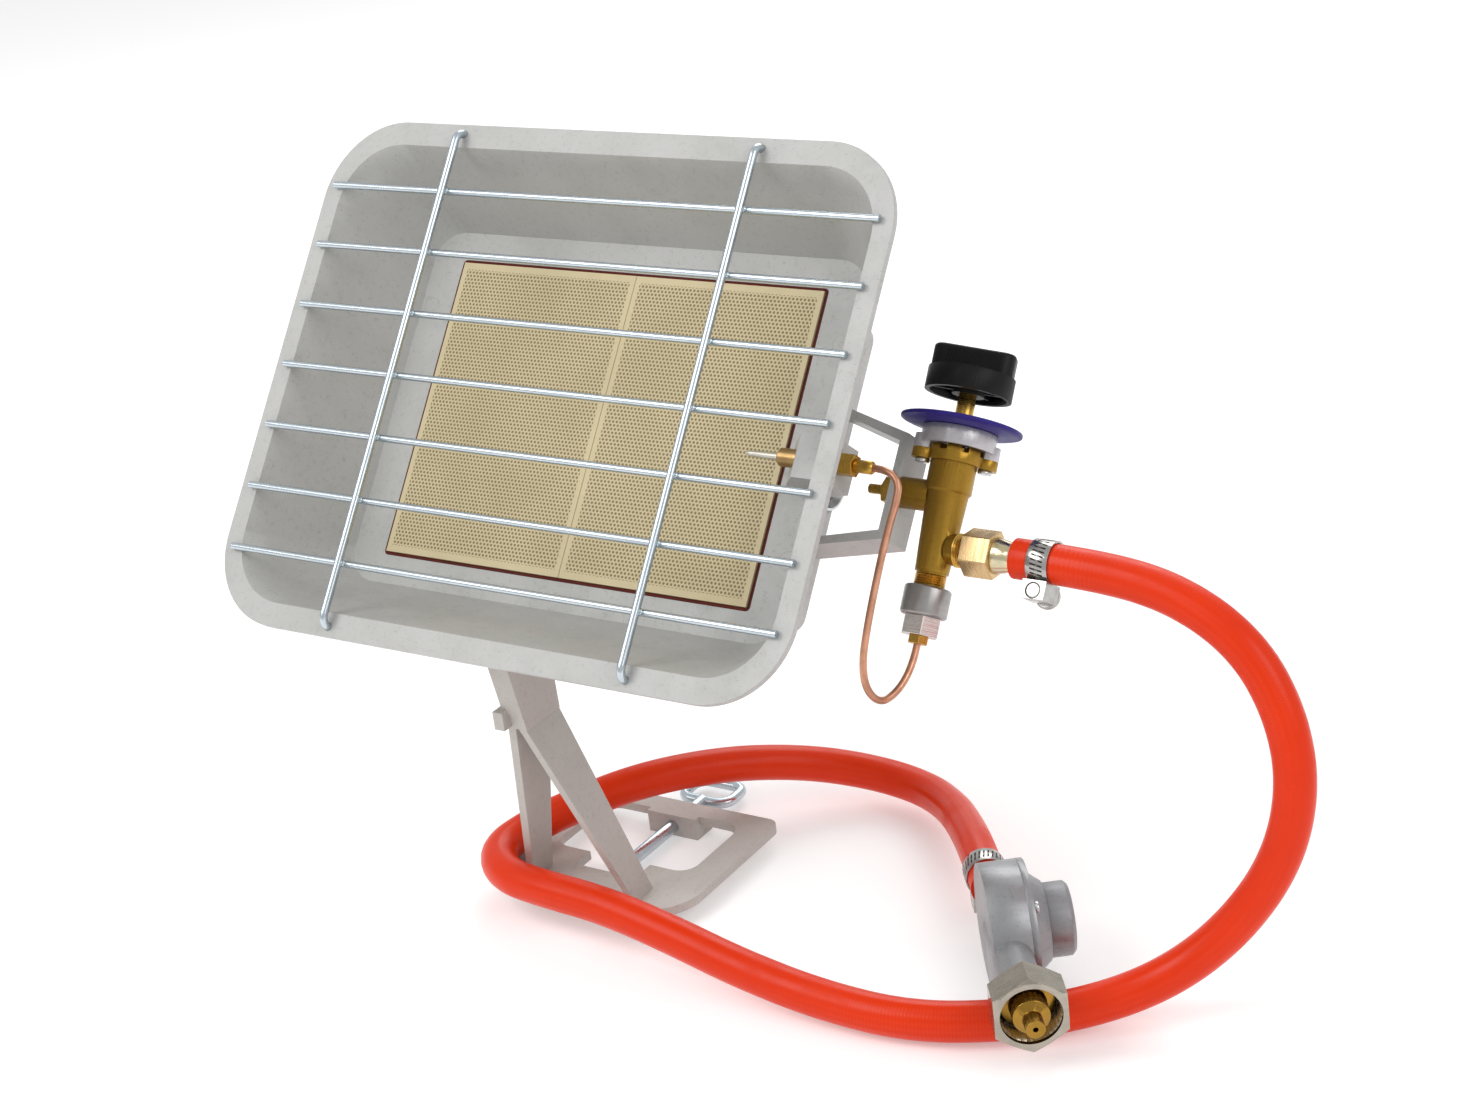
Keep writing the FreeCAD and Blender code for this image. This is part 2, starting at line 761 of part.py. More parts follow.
def plenum_cover():
    """The rear casting: a flanged box, four corner posts and the loop that carries the valve."""
    body = new_body("plenum_cover", HEAD)
    margin = 2 * size.cover_flange_margin
    pad(rounded_rectangle(sketch_on(body, offset=DISH_BACK), COVER_WIDTH + margin,
                          COVER_HEIGHT + margin, size.cover_corner + size.cover_flange_margin),
        size.cover_flange, backwards=True)
    taper = 2 * size.cover_taper
    loft([
        rounded_rectangle(sketch_on(body, offset=DISH_BACK - 1), COVER_WIDTH, COVER_HEIGHT,
                          size.cover_corner),
        rounded_rectangle(sketch_on(body, offset=COVER_BACK), COVER_WIDTH - taper,
                          COVER_HEIGHT - taper, size.cover_corner),
    ])
    add_bracket_loop(body)
    boss = circle(sketch_on(body, "YZ_Plane", BRACKET_ROOT), size.inlet_boss_radius, size.gas_line_y,
                  -size.gas_line_depth)
    pad(boss, INLET_BOSS_END - BRACKET_ROOT)
    wall = 2 * size.cover_wall
    inner_corner = size.cover_corner - size.cover_wall
    loft([
        rounded_rectangle(sketch_on(body, offset=DISH_BACK), COVER_WIDTH - wall,
                          COVER_HEIGHT - wall, inner_corner),
        rounded_rectangle(sketch_on(body, offset=COVER_INSIDE), COVER_WIDTH - taper - wall,
                          COVER_HEIGHT - taper - wall, inner_corner),
    ], "SubtractiveLoft")
    posts = sketch_on(body, offset=COVER_INSIDE)
    for x in (-POST_X, POST_X):
        for y in (-POST_Y, POST_Y):
            circle(posts, size.post_radius, x, y)
    pad(posts, RETAINER_BACK - COVER_INSIDE)
    tube_bore = circle(sketch_on(body, "YZ_Plane", INLET_BOSS_END),
                       size.mixing_tube_radius + size.bore_gap, size.gas_line_y, -size.gas_line_depth)
    pocket(tube_bore, INLET_BOSS_END - BRACKET_ROOT + 2 * size.cover_wall)
    injector_hole = circle(sketch_on(body, "YZ_Plane", BRACKET_REACH), size.injector_shank + size.bore_gap,
                           size.gas_line_y, -size.gas_line_depth)
    pocket(injector_hole, size.bracket_plate)
    holes = sketch_on(body, offset=DISH_BACK)
    for x, y in COVER_SCREWS:
        circle(holes, size.cover_screw_radius + size.screw_gap, x, y)
    pocket(holes, size.cover_flange)
    return body


def add_bracket_loop(body):
    """Two arms and an end plate round an open window."""
    sketch = sketch_on(body, offset=DISH_BACK - size.cover_flange - size.bracket_front)
    reach = BRACKET_REACH
    inner_reach = reach - size.bracket_plate
    root = BRACKET_ROOT
    polygon(sketch, [
        (root, size.bracket_root_bottom),
        (reach, size.bracket_tip_bottom),
        (reach, size.bracket_tip_top),
        (root, size.bracket_root_top),
    ])
    polygon(sketch, [
        (root + 1, size.bracket_root_bottom + size.bracket_arm),
        (inner_reach, size.bracket_tip_bottom + size.bracket_arm),
        (inner_reach, size.bracket_tip_top - size.bracket_arm),
        (root + 1, size.bracket_root_top - size.bracket_arm),
    ])
    pad(sketch, size.bracket_depth, backwards=True)


def gas_baffle():
    """A bent sheet that spreads the gas behind the plates."""
    body = new_body("gas_baffle", HEAD)
    side = size.baffle_height / 2
    top = RETAINER_BACK - size.baffle_drop
    outline = [
        (-side, COVER_INSIDE), (-side, top), (side, top), (side, COVER_INSIDE),
        (side - size.sheet_metal, COVER_INSIDE), (side - size.sheet_metal, top - size.sheet_metal),
        (size.sheet_metal - side, top - size.sheet_metal), (size.sheet_metal - side, COVER_INSIDE),
    ]
    pad(polygon(sketch_on(body, "YZ_Plane"), outline), size.baffle_width, both_ways=True)
    return body


def mixing_tube():
    """The tube where gas and air mix, with a bell mouth behind the injector."""
    outer, inner = size.mixing_tube_radius, size.mixing_tube_radius - size.mixing_tube_wall
    length, bell = size.mixing_tube_length, size.bell_radius
    start = INLET_BOSS_END - length + size.bell_length
    outline = [
        (inner, 0), (outer, 0), (outer, length - size.bell_length), (bell, length),
        (bell - size.mixing_tube_wall, length), (inner, length - size.bell_length),
    ]
    return turned_piece("mixing_tube", outline,
                        along_x(HEAD, start, size.gas_line_y, -size.gas_line_depth))


def screw_shape(radius, grip, head_radius, head_height):
    """A plain screw along Z with its head above zero."""
    shank = Part.makeCylinder(radius.number, grip.number, Vector(0, 0, -grip.number))
    head = Part.makeCylinder(head_radius.number, head_height.number)
    return head.fuse(shank).removeSplitter()


def screw_group(label, screw, places):
    """The same screw at several places, as one group."""
    copies = []
    for place in places:
        copy = screw.copy()
        copy.Placement = place
        copies.append(copy)
    return made_shape(label, Part.makeCompound(copies))


def plenum_screws():
    """Eight screws that hold the cover on the dish, with their heads at the back."""
    screw = screw_shape(size.cover_screw_radius, size.cover_flange + size.cover_screw_grip,
                        size.cover_screw_head, size.cover_screw_head_height)
    backwards = Rotation(X_AXIS, 180)
    places = [HEAD * Placement(numbers(x, y, DISH_BACK - size.cover_flange), backwards) for x, y in COVER_SCREWS]
    return screw_group("plenum_screws", screw, places)


def guard_cross_wires():
    """Seven straight wires across the mouth, welded behind the uprights."""
    wires = []
    for i in range(CROSS_WIRES):
        wire = doc.addObject("Part::Cylinder", "cross_wire")
        bind(wire, "Radius", size.guard_wire)
        bind(wire, "Height", GUARD_WIDTH)
        y = size.guard_pitch * (i - (CROSS_WIRES - 1) / 2)
        wire.Placement = Placement(numbers(-GUARD_WIDTH / 2, y, CROSS_WIRE_Z), ALONG_X)
        wires.append(wire)
    group = doc.addObject("Part::Compound", "guard_cross_wires")
    group.Label = "guard_cross_wires"
    group.Links = wires
    group.Placement = HEAD
    return group


def guard_uprights():
    """Two bent wires that carry the cross wires and hook into the rim."""
    wires = []
    hook, drop = GUARD_HOOK_Y, -size.rim_thickness - 1
    bend = UPRIGHT_Z.number
    for x in (-size.guard_upright_x, size.guard_upright_x):
        route = [(x, hook, drop), (x, hook, UPRIGHT_Z), (x, -hook, UPRIGHT_Z), (x, -hook, drop)]
        wires.append(tube_along(route, size.guard_upright_wire, bends=[bend, bend]))
    return made_shape("guard_uprights", Part.makeCompound(wires), HEAD)


def tube_along(route, radius, bends=None, inner_radius=None):
    """A tube along straight runs joined by tangent arcs."""
    points = [numbers(*place) for place in route]
    radii = bends or route_radii(points)
    edges = []
    start = points[0]
    for before, corner, after, bend in zip(points, points[1:], points[2:], radii):
        incoming = (corner - before).normalize()
        outgoing = (after - corner).normalize()
        turn = incoming.getAngle(outgoing)
        setback = bend * math.tan(turn / 2)
        arc_start, arc_end = corner - incoming * setback, corner + outgoing * setback
        inward = (outgoing - incoming).normalize()
        middle = corner + inward * (bend / math.cos(turn / 2) - bend)
        if (arc_start - start).Length > 1e-6:
            edges.append(Part.LineSegment(start, arc_start).toShape())
        edges.append(Part.Arc(arc_start, middle, arc_end).toShape())
        start = arc_end
    edges.append(Part.LineSegment(start, points[-1]).toShape())
    path = Part.Wire(edges)
    direction = (points[1] - points[0]).normalize()
    section = Part.Wire(Part.makeCircle(as_size(radius).number, points[0], direction))
    return path.makePipeShell([section], True, False)


def route_radii(points):
    """The radius of each arc on a hanging line: as large as its two runs allow."""
    radii = []
    for before, corner, after in zip(points, points[1:], points[2:]):
        turn = (corner - before).getAngle(after - corner)
        shorter = min((corner - before).Length, (after - corner).Length)
        radii.append(0.45 * shorter / math.tan(turn / 2))
    return radii


# Probe and its lead

def probe_pieces():
    """The flame probe: hot tip, sleeve, nut and the ferrule of its lead."""
    def place(x):
        return along_x(HEAD, x, size.probe_y, -size.probe_depth)

    tip_length = PROBE_SLEEVE_START - PROBE_TIP_START
    tip = turned_piece("thermocouple_tip", [
        (0, 0), (size.probe_tip_radius / 2, 0), (size.probe_tip_radius, 2),
        (size.probe_tip_radius * 1.35, tip_length), (0, tip_length),
    ], place(PROBE_TIP_START))
    sleeve = turned_piece("thermocouple_sleeve", [
        (0, 0), (size.probe_sleeve_radius - 0.6, 0), (size.probe_sleeve_radius, 0.6),
        (size.probe_sleeve_radius, PROBE_SEAT - PROBE_SLEEVE_START),
        (0, PROBE_SEAT - PROBE_SLEEVE_START),
    ], place(PROBE_SLEEVE_START))
    nut = hexagon_piece("thermocouple_nut", size.probe_nut_flats, size.probe_nut_length, None,
                        place(PROBE_SEAT))
    ferrule = turned_piece("lead_ferrule", [
        (0, 0), (size.ferrule_radius, 0), (size.ferrule_radius, size.ferrule_length - 1),
        (size.ferrule_radius - 0.7, size.ferrule_length), (0, size.ferrule_length),
    ], place(PROBE_SEAT + size.probe_nut_length))
    return [tip, sleeve, nut, ferrule]


def thermocouple_lead():
    """The copper tube from the magnet under the valve to the probe."""
    start = HEAD.inverse() * (VALVE * numbers(0, 0, -LEAD_NUT_END))
    down = HEAD.inverse().Rotation * (VALVE.Rotation * Vector(0, 0, -1))
    end_x = PROBE_SEAT + size.probe_nut_length + size.ferrule_length
    end = numbers(end_x, size.probe_y, -size.probe_depth)
    first = start + down * 7
    route = [start, first]
    route += [numbers(VALVE_X + x, y, z) for x, y, z in LEAD_ROUTE]
    route += [end + X_AXIS * 6, end]
    shape = tube_along(route, size.lead_radius)
    return made_shape("thermocouple_lead", shape, HEAD)


# In the head's frame, with X measured from the valve's axis
LEAD_ROUTE = [
    (-1, -83, -71.5),
    (-4.3, -91.5, -65.5),
    (-8, -88.5, -57.5),
    (-9.6, -79, -52),
    (-7.8, -65, -46),
    (-4.3, -46, -38),
    (-0.8, -29, -31.5),
    (1.3, -19, -29),
    (1, -12, -28),
]

# Valve

def valve_body():
    """The brass body: a cone with a side boss, an outlet, two ears and a slotted crown."""
    body = new_body("valve_body", VALVE)
    spin(polygon(sketch_on(body, "XZ_Plane"), [
        (0, -size.thread_bottom), (size.thread_radius, -size.thread_bottom),
        (size.thread_radius, -size.cone_bottom), (size.cone_bottom_radius, -size.cone_bottom),
        (size.cone_top_radius, size.body_shoulder - 1), (size.body_radius, size.body_shoulder),
        (size.body_radius, size.body_top), (size.flange_radius, size.body_top),
        (size.flange_radius, FLANGE_TOP), (0, FLANGE_TOP),
    ]))
    ears = sketch_on(body, offset=size.body_top)
    for x, y in EARS:
        circle(ears, size.ear_radius, x, y)
    pad(ears, size.flange_thickness)
    crown = circle(sketch_on(body, offset=FLANGE_TOP), size.flange_radius)
    pad(crown, size.crown_height)
    slot = rectangle(sketch_on(body, offset=FLANGE_TOP), 0, size.flange_radius + 1,
                     -size.crown_slot / 2, size.crown_slot / 2)
    slot_cut = pocket(slot, size.crown_height, forwards=True)
    round_pattern(slot_cut, slot, 8)
    pad(circle(sketch_on(body, "YZ_Plane", -SIDE_BOSS_REACH), size.side_boss_radius),
        SIDE_BOSS_REACH - size.plug_top_radius)
    pad(circle(sketch_on(body, "YZ_Plane", size.plug_top_radius), size.outlet_radius, 0, -size.outlet_drop),
        size.outlet_reach - size.plug_top_radius)
    spin(polygon(sketch_on(body, "XZ_Plane"), [
        (0, -size.thread_bottom), (MAGNET_BORE, -size.thread_bottom), (MAGNET_BORE, -size.plug_bottom),
        (size.plug_bottom_radius, -size.plug_bottom), (size.plug_top_radius, size.plug_top),
        (size.plug_top_radius, CROWN_TOP), (0, CROWN_TOP),
    ]), "Groove")
    pocket(circle(sketch_on(body, "YZ_Plane", -SIDE_BOSS_REACH), size.injector_shank + size.bore_gap),
           size.injector_grip, forwards=True)
    pocket(circle(sketch_on(body, "YZ_Plane", size.outlet_reach), size.outlet_radius / 2, 0, -size.outlet_drop),
           size.outlet_reach)
    screw_holes = sketch_on(body, offset=CROWN_TOP)
    for x, y in EARS:
        circle(screw_holes, size.bonnet_screw_radius + size.bore_gap, x, y)
    pocket(screw_holes, size.crown_height + size.flange_thickness)
    return body


def injector():
    """The gas jet: a nozzle and a hexagon in front of the bracket, and a shank into the valve."""
    start = INJECTOR_SEAT - size.injector_head - size.injector_tip_length
    body = new_body("injector", along_x(HEAD, start, size.gas_line_y, -size.gas_line_depth))
    pad(circle(sketch_on(body), size.injector_tip), size.injector_tip_length)
    pad(hexagon(sketch_on(body, offset=size.injector_tip_length), size.injector_flats), size.injector_head)
    pad(circle(sketch_on(body, offset=size.injector_tip_length + size.injector_head), size.injector_shank),
        size.bracket_plate + size.injector_grip - size.fit_gap)
    return body


def bonnet_ring():
    """The zinc bonnet over the spring, with two ears and a groove for the stem seal."""
    body = new_body("bonnet_ring", VALVE)
    inner = size.bonnet_radius - size.bonnet_wall
    roof = BONNET_TOP - size.bonnet_roof
    bore = size.stem_radius + size.bore_gap
    seal = bore + size.seal_width
    spin(polygon(sketch_on(body, "XZ_Plane"), [
        (inner, CROWN_TOP), (size.bonnet_radius, CROWN_TOP), (size.bonnet_radius, BONNET_TOP),
        (bore, BONNET_TOP), (bore, roof + 2.5), (seal, roof + 2.5), (seal, roof + 1), (bore, roof + 1),
        (bore, roof), (inner, roof),
    ]))
    ears = sketch_on(body, offset=FLANGE_TOP)
    for x, y in EARS:
        circle(ears, size.ear_radius, x, y)
    pad(ears, BONNET_TOP - FLANGE_TOP - size.bonnet_roof)
    cavity = circle(sketch_on(body, offset=FLANGE_TOP), size.flange_radius + size.fit_gap)
    pocket(cavity, roof - FLANGE_TOP, forwards=True)
    screw_holes = sketch_on(body, offset=FLANGE_TOP)
    for x, y in EARS:
        circle(screw_holes, size.bonnet_screw_radius + size.screw_gap, x, y)
    pocket(screw_holes, BONNET_TOP - FLANGE_TOP, forwards=True)
    return body


def bonnet_screws():
    """Two screws from below through the ears of the body into the bonnet."""
    screw = screw_shape(size.bonnet_screw_radius, size.flange_thickness + size.bonnet_roof,
                        size.bonnet_screw_head, size.bonnet_screw_radius)
    under = Rotation(X_AXIS, 180)
    places = [VALVE * Placement(numbers(x, y, size.body_top), under) for x, y in EARS]
    return screw_group("bonnet_screws", screw, places)


def stem_seal():
    """The rubber ring round the stem, in the groove of the bonnet."""
    ring = doc.addObject("Part::Torus", "stem_seal")
    ring.Label = "stem_seal"
    thickness = size.seal_width / 2 - size.bore_gap
    bind(ring, "Radius2", thickness)
    bind(ring, "Radius1", size.stem_radius + size.bore_gap + size.seal_width / 2)
    height = BONNET_TOP - size.bonnet_roof + 1.75
    ring.Placement = VALVE * Placement(numbers(0, 0, height), Rotation())
    return ring


def valve_stem():
    """The brass stem from the plug up into the knob, with a collar for the spring."""
    return turned_piece("valve_stem", [
        (0, 0), (size.stem_radius, 0), (size.stem_radius, COLLAR_BOTTOM), (size.stem_collar, COLLAR_BOTTOM),
        (size.stem_collar, COLLAR_BOTTOM + size.stem_collar_height),
        (size.stem_radius, COLLAR_BOTTOM + size.stem_collar_height),
        (size.stem_radius, size.stem_top - 1), (size.stem_radius - 1, size.stem_top), (0, size.stem_top),
    ], VALVE)


def valve_plug():
    """The tapered plug that the stem turns and slides in."""
    gap = size.bore_gap
    body = turned_piece("valve_plug", [
        (0, gap - size.plug_bottom), (size.plug_bottom_radius - gap, gap - size.plug_bottom),
        (size.plug_top_radius - gap, size.plug_top - gap), (STEM_BORE, size.plug_top - gap),
        (STEM_BORE, -size.push_travel - 2), (0, -size.push_travel - 2),
    ], VALVE)
    return body


ARCS_PER_TURN = 6


def spring(label, placement, radius, wire, height, turns):
    """A round-wire spring that stands on zero."""
    rise = (height.number - 2 * wire.number) / (360 * turns)
    step = 360 / ARCS_PER_TURN
    corner_radius = radius.number / math.cos(math.radians(step / 2))

    def on_coil(angle, reach):
        return (reach * math.cos(math.radians(angle)), reach * math.sin(math.radians(angle)),
                wire.number + rise * angle)

    corners = [on_coil(step * (i + 0.5), corner_radius) for i in range(ARCS_PER_TURN * turns)]
    route = [on_coil(0, radius.number)] + corners + [on_coil(360 * turns, radius.number)]
    shape = tube_along(route, wire, bends=[0.9 * radius.number] * len(corners))
    return made_shape(label, shape, placement)


def stem_spring():
    """The spring that lifts the stem after a push."""
    height = COLLAR_BOTTOM - size.plug_top
    place = VALVE * Placement(numbers(0, 0, size.plug_top), Rotation())
    wire = size.stem_spring_wire
    return spring("stem_spring", place, size.stem_radius + 2 * wire, wire, height, 4)


def dial_disc():
    """The flat plate round the stem under the knob, with a bevelled rim."""
    bore = size.stem_radius + size.screw_gap
    bottom, top = BONNET_TOP, BONNET_TOP + size.dial_thickness
    return turned_piece("dial_disc", [
        (bore, bottom), (size.bonnet_radius - 3, bottom), (size.dial_radius - size.dial_bevel, bottom + 0.8),
        (size.dial_radius, bottom + 1.6), (size.dial_radius, top), (bore, top),
    ], VALVE)


def control_knob():
    """The knob: a hollow skirt with ribs under it, and a tall grip across the top."""
    body = new_body("control_knob", VALVE * Placement(Vector(), Rotation(Z_AXIS, size.knob_turn.number)))
    bottom = size.knob_bottom
    skirt_top = bottom + size.knob_skirt
    pad(circle(sketch_on(body, offset=bottom), size.knob_radius), size.knob_skirt)
    pad(rounded_rectangle(sketch_on(body, offset=skirt_top), size.knob_grip_width, size.knob_grip_depth,
                          size.knob_grip_corner), size.knob_height - size.knob_skirt)
    top = (bottom + size.knob_height).number
    soften(body, size.knob_edge, lambda edge: all(abs(v.Point.z - top) < 0.01 for v in edge.Vertexes))
    hollow = sketch_on(body, offset=bottom)
    circle(hollow, size.knob_radius - size.knob_wall)
    circle(hollow, size.knob_hub)
    pocket(hollow, size.knob_skirt - size.knob_wall, forwards=True)
    rib = rectangle(sketch_on(body, offset=bottom + 1.5), size.knob_hub - 1, size.knob_radius - size.knob_wall / 2,
                    -size.knob_rib / 2, size.knob_rib / 2)
    rib_pad = pad(rib, size.knob_skirt - size.knob_wall)
    round_pattern(rib_pad, rib, 6)
    pocket(circle(sketch_on(body, offset=bottom), STEM_BORE), size.stem_top - bottom, forwards=True)
    return body


def magnet_pieces():
    """The safety magnet in the foot of the valve, its case, its cap and the lead nut."""
    magnet = turned_piece("magnet_unit", [
        (0, 0), (size.magnet_radius, 0), (size.magnet_radius, size.magnet_length), (0, size.magnet_length),
    ], VALVE * Placement(numbers(0, 0, 1 - size.thread_bottom), Rotation()))
    case_top = -size.magnet_case_top
    case_bottom = -MAGNET_CASE_END
    seat = -size.thread_bottom
    case_bore = size.thread_radius + size.bore_gap
    case = turned_piece("magnet_housing", [
        (case_bore, case_top), (size.magnet_case_radius - 0.8, case_top),
        (size.magnet_case_radius, case_top - 0.8), (size.magnet_case_radius, case_bottom + 0.8),
        (size.magnet_case_radius - 0.8, case_bottom), (0, case_bottom), (0, seat), (case_bore, seat),
    ], VALVE)
    cap = hexagon_piece("magnet_cap", size.magnet_cap_flats, size.magnet_cap_length, None,
                        VALVE * Placement(numbers(0, 0, -MAGNET_CAP_END), Rotation()))
    nut = hexagon_piece("lead_union_nut", size.lead_nut_flats, size.lead_nut_length, None,
                        VALVE * Placement(numbers(0, 0, -LEAD_NUT_END), Rotation()))
    return [magnet, case, cap, nut]


# Hose

def hose_union_nut():
    """The hexagon that pulls the hose tail onto the valve outlet."""
    body = new_body("hose_union_nut", along_x(VALVE, UNION_START, 0, -size.outlet_drop))
    pad(circle(hexagon(sketch_on(body), size.union_flats), size.outlet_radius + size.bore_gap), size.union_length)
    return body


def hose_tail():
    """The tapered tail between the nut and the hose, with its collar inside the nut."""
    collar = size.union_length - size.union_overlap
    end = collar + size.tail_length
    return turned_piece("hose_tail", [
        (size.outlet_radius / 2, 0), (size.outlet_radius, 0), (size.outlet_radius, collar),
        (size.tail_radius, collar), (size.tail_end_radius, end - 2), (size.tail_end_radius, end),
        (size.outlet_radius / 2, end),
    ], along_x(VALVE, size.outlet_reach, 0, -size.outlet_drop))


def gas_hose():
    """The rubber hose, as a plain tube along its route from the valve to the regulator."""
    points = hose_points()
    print("hose radii", [round(radius) for radius in route_radii(points)])
    shape = tube_along(points, size.hose_radius)
    print("hose volume as length", round(shape.Volume / (math.pi * size.hose_radius.number ** 2), 1))
    return made_shape("gas_hose", shape)


HOSE_ROUTE = [
    (257, -17, 160),
    (285, -22, 146),
    (301, -27, 123),
    (307, -32, 96),
    (302, -38, 67),
    (286, -46, 40),
    (264, -56, 19),
    (239, -73, 9.4),
    (211, -95, 9),
    (178, -109, 9),
    (140, -110, 9.6),
    (100, -106, 12),
    (62, -100, 16),
    (26, -96, 19.5),
    (-7, -95, 19.8),
    (-32, -90, 18.8),
    (-47, -74, 18.7),
    (-43, -54, 20.5),
    (-28, -38, 26),
    (-10, -20, 31),
    (8, -1, 31.5),
    (26, 19, 28.5),
    (47, 41, 21),
    (72, 53, 14.5),
    (98, 51, 12.5),
    (121, 34, 16.5),
    (141, 11, 22),
]


def hose_points():
    """The hose's route: straight out of the tail, then as it lies, then straight into the regulator."""
    start = VALVE * numbers(HOSE_START, 0, -size.outlet_drop)
    outward = VALVE.Rotation * X_AXIS
    end = REGULATOR * numbers(-size.neck_end, 0, 0)
    inward = REGULATOR.Rotation * X_AXIS
    middle = [Vector(*place) for place in HOSE_ROUTE]
    return [start, start + outward * 35] + middle + [end - inward * 24, end]


def hose_clamp(label, place):
    """A worm clamp: a band round the hose with its screw housing under it."""
    body = new_body(label, place)
    outer = size.hose_radius + size.clamp_gap + size.clamp_band
    pad(circle(sketch_on(body), outer), size.clamp_width)
    housing = rectangle(sketch_on(body, offset=(size.clamp_width - size.clamp_case_width) / 2),
                        -size.clamp_case_length / 2, size.clamp_case_length / 2,
                        -outer - size.clamp_case_height, -size.hose_radius)
    pad(housing, size.clamp_case_width)
    cut_through(circle(sketch_on(body), size.hose_radius + size.clamp_gap))
    drive = circle(sketch_on(body, "YZ_Plane", -size.clamp_case_length / 2),
                   size.clamp_screw_radius + size.bore_gap, CLAMP_SCREW_Y, size.clamp_width / 2)
    pocket(drive, size.clamp_case_length, forwards=True)
    return body


def clamp_screw_piece(label, place):
    """The worm screw that lies across a hose clamp."""
    outline = [
        (0, 0), (size.clamp_screw_radius, 0), (size.clamp_screw_radius, size.clamp_case_length),
        (size.clamp_screw_head, size.clamp_case_length), (size.clamp_screw_head, size.clamp_case_length + 3),
        (0, size.clamp_case_length + 3),
    ]
    across = Placement(numbers(-size.clamp_case_length / 2, CLAMP_SCREW_Y, size.clamp_width / 2), ALONG_X)
    return turned_piece(label, outline, place * across)


# Regulator

def regulator_body():
    """The zinc housing: a round chamber with the hose neck on one side and the inlet on the other."""
    body = new_body("regulator_body", along_y(REGULATOR, 0, 0, 0))
    back, front = -size.regulator_back, size.regulator_front
    pad(circle(sketch_on(body, offset=back), size.regulator_radius), front - back)
    neck = circle(sketch_on(body, "YZ_Plane", -size.neck_end), size.neck_radius)
    pad(neck, size.neck_end)
    inlet = circle(sketch_on(body, "YZ_Plane"), size.inlet_radius)
    pad(inlet, size.inlet_end)
    chamber = circle(sketch_on(body, offset=front), size.regulator_radius - size.regulator_wall - size.regulator_lip)
    pocket(chamber, size.regulator_front + size.regulator_back - size.regulator_wall)
    gas_way = circle(sketch_on(body, "YZ_Plane", size.inlet_end), size.nipple_tip_radius / 2)
    pocket(gas_way, size.inlet_end)
    holes = sketch_on(body, offset=front)
    for x, y in REGULATOR_SCREWS:
        circle(holes, size.regulator_screw_radius + size.bore_gap, x, y)
    pocket(holes, size.regulator_screw_grip + size.screw_gap)
    return body


def regulator_diaphragm():
    """The rubber disc clamped between the housing and its cover."""
    return turned_piece("regulator_diaphragm", [
        (0, 0), (DIAPHRAGM_RADIUS, 0), (DIAPHRAGM_RADIUS, size.diaphragm_thickness), (0, size.diaphragm_thickness),
    ], along_y(REGULATOR, 0, size.regulator_front, 0))


def regulator_cover():
    """The domed cover over the diaphragm, with the round socket of the spring cap."""
    body = new_body("regulator_cover", along_y(REGULATOR, 0, size.regulator_front, 0))
    step, lip = size.diaphragm_thickness, COVER_LIP
    dome = lip + size.cover_dome
    wall = size.regulator_wall
    spin(polygon(sketch_on(body, "XZ_Plane"), [
        (DIAPHRAGM_RADIUS + size.fit_gap, 0), (size.regulator_radius, 0), (size.regulator_radius, lip),
        (size.cover_dome_radius, lip), (size.cap_radius + 1, dome), (size.spring_radius + 3, dome),
        (size.spring_radius + 3, lip), (DIAPHRAGM_RADIUS - 4, step), (DIAPHRAGM_RADIUS + size.fit_gap, step),
    ]))
    holes = sketch_on(body)
    for x, y in REGULATOR_SCREWS:
        circle(holes, size.regulator_screw_radius + size.screw_gap, x, y)
    pocket(holes, lip + wall, forwards=True)
    return body


def regulator_cap():
    """The round cap over the spring."""
    base = COVER_LIP + size.cover_dome
    inner = size.spring_radius + 3
    return turned_piece("regulator_cap", [
        (inner, 0), (size.cap_radius, 0), (size.cap_radius, size.cap_height - 1.5),
        (size.cap_radius - 1.5, size.cap_height), (0, size.cap_height),
        (0, size.cap_height - size.regulator_wall), (inner, size.cap_height - size.regulator_wall),
    ], along_y(REGULATOR, 0, size.regulator_front + base, 0))


def regulator_spring():
    """The spring between the diaphragm and the cap."""
    base = size.diaphragm_thickness
    height = size.cover_lip + size.cover_dome + size.cap_height - size.regulator_wall
    place = along_y(REGULATOR, 0, size.regulator_front + base, 0)
    return spring("regulator_spring", place, size.spring_radius, size.spring_wire, height, 4)


def regulator_screws():
    """Four screws that close the cover."""
    screw = screw_shape(size.regulator_screw_radius, COVER_LIP + size.regulator_screw_grip,
                        size.regulator_screw_head, size.regulator_screw_radius)
    cover_face = along_y(REGULATOR, 0, size.regulator_front + COVER_LIP, 0)
    places = [cover_face * Placement(numbers(x, y, 0), Rotation()) for x, y in REGULATOR_SCREWS]
    return screw_group("regulator_screws", screw, places)


def bottle_nut():
    """The hexagon nut that turns on the inlet and screws onto the gas bottle."""
    body = new_body("bottle_nut", along_x(REGULATOR, size.nut_start, 0, 0))
    pad(hexagon(sketch_on(body), size.nut_flats), size.nut_length)
    pocket(circle(sketch_on(body, offset=size.nut_web), size.nut_bore), size.nut_length - size.nut_web, forwards=True)
    pocket(circle(sketch_on(body), NUT_NECK_BORE), size.nut_web, forwards=True)
    soften_hexagon(body)
    return body


def soften_hexagon(body):
    """Takes the sharp corners off both ends of the nut with a turned cut."""
    corner = size.nut_flats / math.sqrt(3)
    flat = size.nut_flats / 2
    drop = (corner - flat) * 0.6
    for end, inward in ((as_size(0), drop), (size.nut_length, -drop)):
        outline = [(flat, end), (corner + 1, end), (corner + 1, end + inward)]
        spin(polygon(sketch_on(body, "XZ_Plane"), outline), "Groove")


